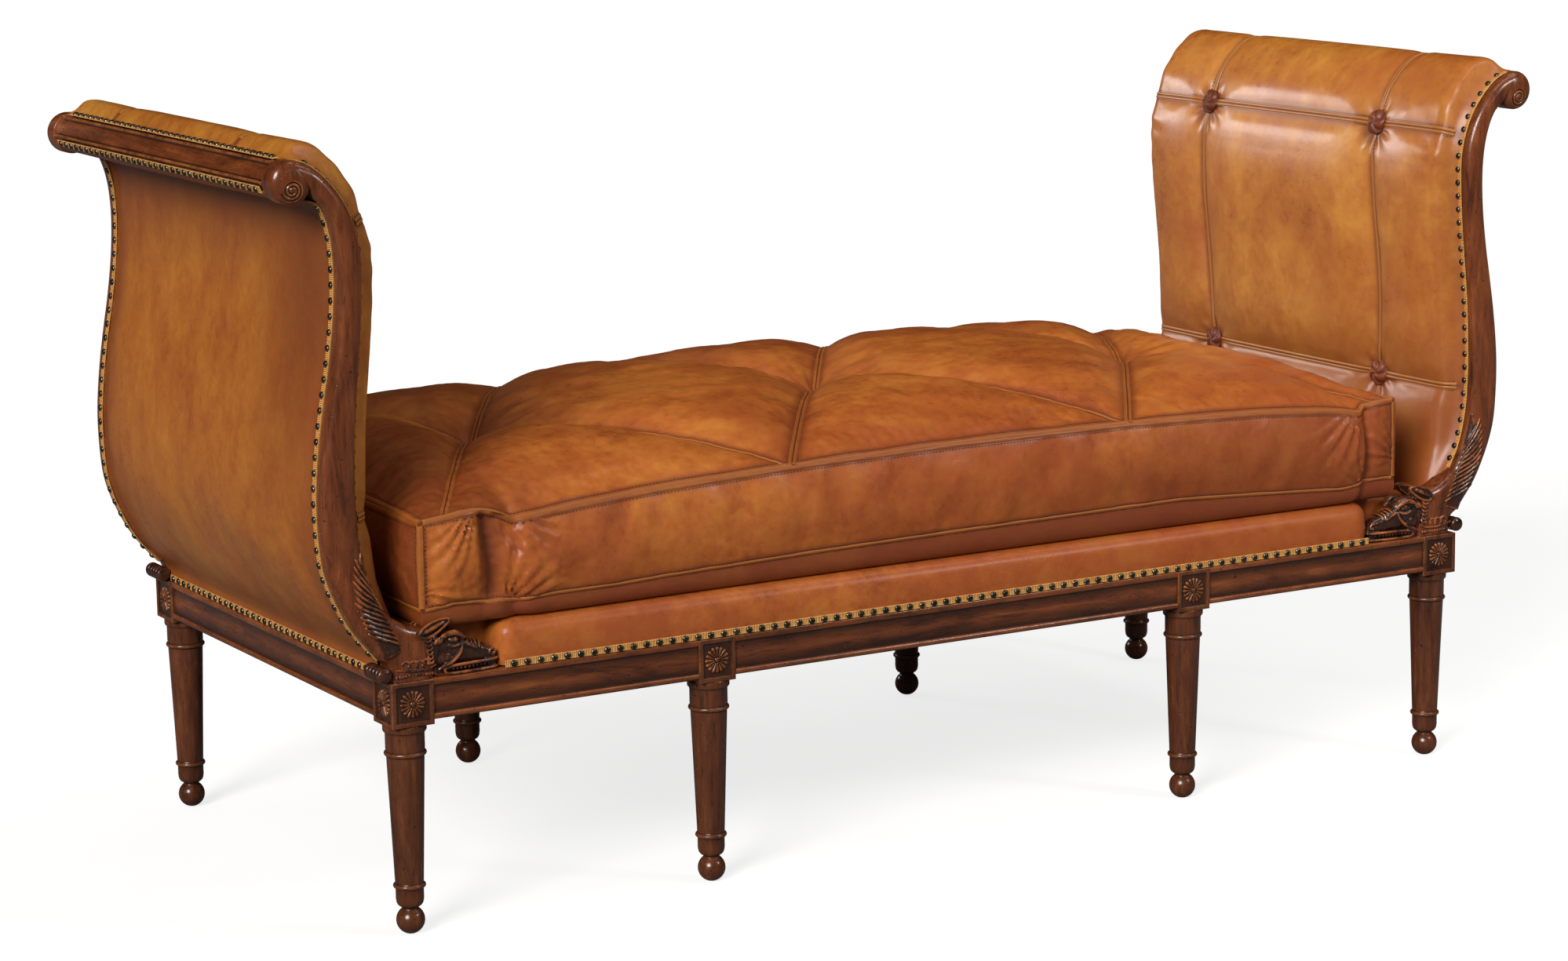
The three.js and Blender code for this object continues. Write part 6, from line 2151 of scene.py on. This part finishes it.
def mane_form():
    """A plume on the inner half of the stile: a dark ground, with locks that curl out to its far edge."""
    form = Form()
    start, end = share_at_height(MANE_LOW), share_at_height(MANE_HIGH)
    steps = np.linspace(0, 1, 40)
    along = start - 0.01 + (end + 0.062 - start + 0.01) * steps
    wide = 27 * (1 - steps**2.2) + 2.5
    rings = []
    for a, w in zip(along, wide):
        across = w * np.linspace(0, 1, 9)
        bow = -2.2 * np.sin(math.pi * np.clip(np.linspace(0.06, 1, 9), 0, 1)) ** 0.5
        top = stile_face(bow, np.full(9, a), 1.2 + across)
        low = stile_face(np.full(9, 3.0), np.full(9, a), 1.2 + across)[::-1]
        rings.append(np.vstack([top, low]))
    lofted(form, rings)
    count = 12
    for k in range(count):
        t = k / (count - 1)
        root = start - 0.004 + (end - start) * t
        far = 29.5 * (1 - (0.12 + 0.74 * t) ** 2.4) + 4.5
        steps = np.linspace(0, 1, 9)
        along = root + (0.05 - 0.006 * t) * steps**0.85 + 0.016 * steps**4
        across = 3 + (far - 3) * steps**1.35
        lift = -2.0 - 1.9 * np.sin(math.pi * steps**0.7) ** 0.7
        path = spline(np.column_stack([stile_face(lift, along, across)]), 34)
        share = np.linspace(0, 1, 34)
        thick = (2.9 - 0.7 * t) * (0.28 + 0.72 * share**0.9) * np.sqrt(np.clip((1.02 - share) / 0.2, 0, 1))
        tube(form, path, thick, 10, flat=0.95, up=(0, 1, 0))
    return form


def carved_head():
    """The head, turned round and set at the foot of the stile, with its mane."""
    form = Form().join(head_form(), (-1, 1, 1), (HEAD_JOINT_X, -STILE_FRONT, SEAT_TOP))
    return form.join(mane_form())


head = fused(carved_head(), 0.95, 2)
points = head.all_points()
length, height = HEAD_JOINT_X - points[:, 0], points[:, 2] - SEAT_TOP
deep = np.minimum(points[:, 1] + STILE_FRONT, -STILE_BACK - points[:, 1])
# Painted shade in the mouth's slot between the lips, darker further in, and in the crease between cheek and
# snout; the low part of the neck along its beaded band is darkened too.
mouth = ease(12, 15, length) * ease(3.4, 4.6, height) * ease(11.4, 10, height)
mouth *= 0.25 + 0.75 * ease(2.2, 4.6, deep)
crease = bump(length, 39 - 0.1 * (height - 36), 1.8)
crease = crease * ease(18, 24, height) * ease(42, 38, height)
band = 0.75 * ease(-2, -4, length) * ease(11.5, 10, height) * ease(-0.2, 0.6, deep)
head.shade = [np.clip(darkest(mouth, 0.8 * crease, band), 0, 1)]
# The head's relief is spread wider and doubled, so its hollows take more painted shade and its ridges more
# wear.
for corner, (sx, sy) in CORNERS.items():
    piece("carved_beast_head_" + corner, mirrored(head, sx, sy), carved_walnut,
          ["carved_head_" + corner], crease=70, weld=0, passes=5, gain=2.0)


# Floor, light and camera

def aim(obj, target):
    direction = Vector(target) - obj.location
    obj.rotation_euler = direction.to_track_quat("-Z", "Y").to_euler()


def soft_light(name, place, target, size, power, spread=180):
    lamp = bpy.data.lights.new(name, "AREA")
    lamp.shape = "RECTANGLE"
    lamp.size, lamp.size_y = size
    lamp.energy = power
    lamp.spread = math.radians(spread)
    obj = placed(name, lamp)
    obj.location = place
    aim(obj, target)


def pale_floor():
    """A white studio floor: what the camera sees of it is nearly white, what lights the daybed is less."""
    size = 60
    mesh = bpy.data.meshes.new("floor")
    corners = [(-size, -size, 0), (size, -size, 0), (size, size, 0), (-size, size, 0)]
    mesh.from_pydata(corners, [], [(0, 1, 2, 3)])
    obj = placed("floor", mesh)
    material = bpy.data.materials.new("pale_floor")
    material.use_nodes = True
    s = Shader(material.node_tree)
    shader = material.node_tree.nodes["Principled BSDF"]
    speck = s.ramp(s.noise(s.place(), 3, 4, 0.6), 0.3, 0.7)
    seen = s.node("LightPath").outputs["Is Camera Ray"]
    pale = s.mix(speck, (0.34, 0.34, 0.34, 1), (0.36, 0.36, 0.36, 1))
    s.wire(s.mix(seen, (FLOOR_BOUNCE, FLOOR_BOUNCE, FLOOR_BOUNCE, 1), pale), shader.inputs["Base Color"])
    shader.inputs["Roughness"].default_value = 0.85
    shader.inputs["Specular IOR Level"].default_value = 0.05
    glow = s.node("Emission", {"Color": (1, 1, 1, 1)})
    s.wire(s.times(seen, FLOOR_GLOW), glow.inputs["Strength"])
    both = s.node("AddShader", {0: shader.outputs[0], 1: glow.outputs[0]})
    s.wire(both.outputs[0], material.node_tree.nodes["Material Output"].inputs["Surface"])
    mesh.materials.append(material)
    obj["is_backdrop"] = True


def studio():
    """White behind the daybed for the camera; as light it is dim, brighter overhead and not mirrored."""
    world = bpy.data.worlds.new("studio")
    bpy.context.scene.world = world
    world.use_nodes = True
    s = Shader(world.node_tree)
    around = world.node_tree.nodes["Background"]
    around.inputs["Color"].default_value = (1, 0.985, 0.96, 1)
    height = s.node("SeparateXYZ", {0: s.node("TexCoord").outputs["Generated"]}).outputs["Z"]
    fill = s.plus(s.times(s.ramp(height, 0.0, 0.75), HIGH_FILL - LOW_FILL), LOW_FILL)
    seen = s.node("LightPath").outputs["Is Camera Ray"]
    s.wire(s.math("MAXIMUM", seen, fill), around.inputs["Strength"])
    world.cycles_visibility.glossy = False


def sunlight(name, toward, strength, spread, tint):
    lamp = bpy.data.lights.new(name, "SUN")
    lamp.energy = strength
    lamp.angle = math.radians(spread)
    lamp.color = tint
    obj = placed(name, lamp)
    obj.location = toward
    aim(obj, (0, 0, 0))


FLOOR_GLOW = 0.77
FLOOR_BOUNCE = 0.16
LOW_FILL = 0.16
HIGH_FILL = 0.3
MIDDLE = (0, 0, 0.5)
pale_floor()
studio()
sunlight("key_light", (-3.6, -2.5, 2.3), 3.15, 24, (1, 0.97, 0.92))
soft_light("back_light", (-1.0, 2.9, 1.5), (0.8, 0, 0.85), (1.0, 0.7), 2.5, 44)
soft_light("glint_light", (1.9, -2.7, 2.2), MIDDLE, (0.5, 0.5), 22)
soft_light("high_light", (1.3, -0.95, 3.6), (1.3, -0.95, 0), (3.0, 0.6), 22)
bpy.context.scene.view_settings.view_transform = "Standard"

CAMERA_PLACE = (-2.82145, -4.78963, 1.48011)
CAMERA_AZIMUTH = -30.0760
CAMERA_TILT = 10.7034
CAMERA_ROLL = -0.8536
LENS = 93.369


def photograph_camera():
    azimuth, tilt, roll = (math.radians(v) for v in (CAMERA_AZIMUTH, CAMERA_TILT, CAMERA_ROLL))
    back = Vector((math.sin(azimuth) * math.cos(tilt), -math.cos(azimuth) * math.cos(tilt), math.sin(tilt)))
    right = (-back).cross(Vector((0, 0, 1))).normalized()
    up = right.cross(-back)
    turned_right = right * math.cos(roll) + up * math.sin(roll)
    turned_up = up * math.cos(roll) - right * math.sin(roll)
    lens = bpy.data.cameras.new("camera")
    lens.sensor_fit = "HORIZONTAL"
    lens.sensor_width = 36
    lens.lens = LENS
    lens.clip_end = 100
    obj = placed("camera", lens)
    turn = Matrix((turned_right, turned_up, back)).transposed().to_4x4()
    obj.matrix_world = Matrix.Translation(CAMERA_PLACE) @ turn
    bpy.context.scene.camera = obj


photograph_camera()

seen_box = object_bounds()
boxes = {"cad": cad_box, "visual": seen_box}
{label: [list(corner) for corner in box] for label, box in boxes.items()}
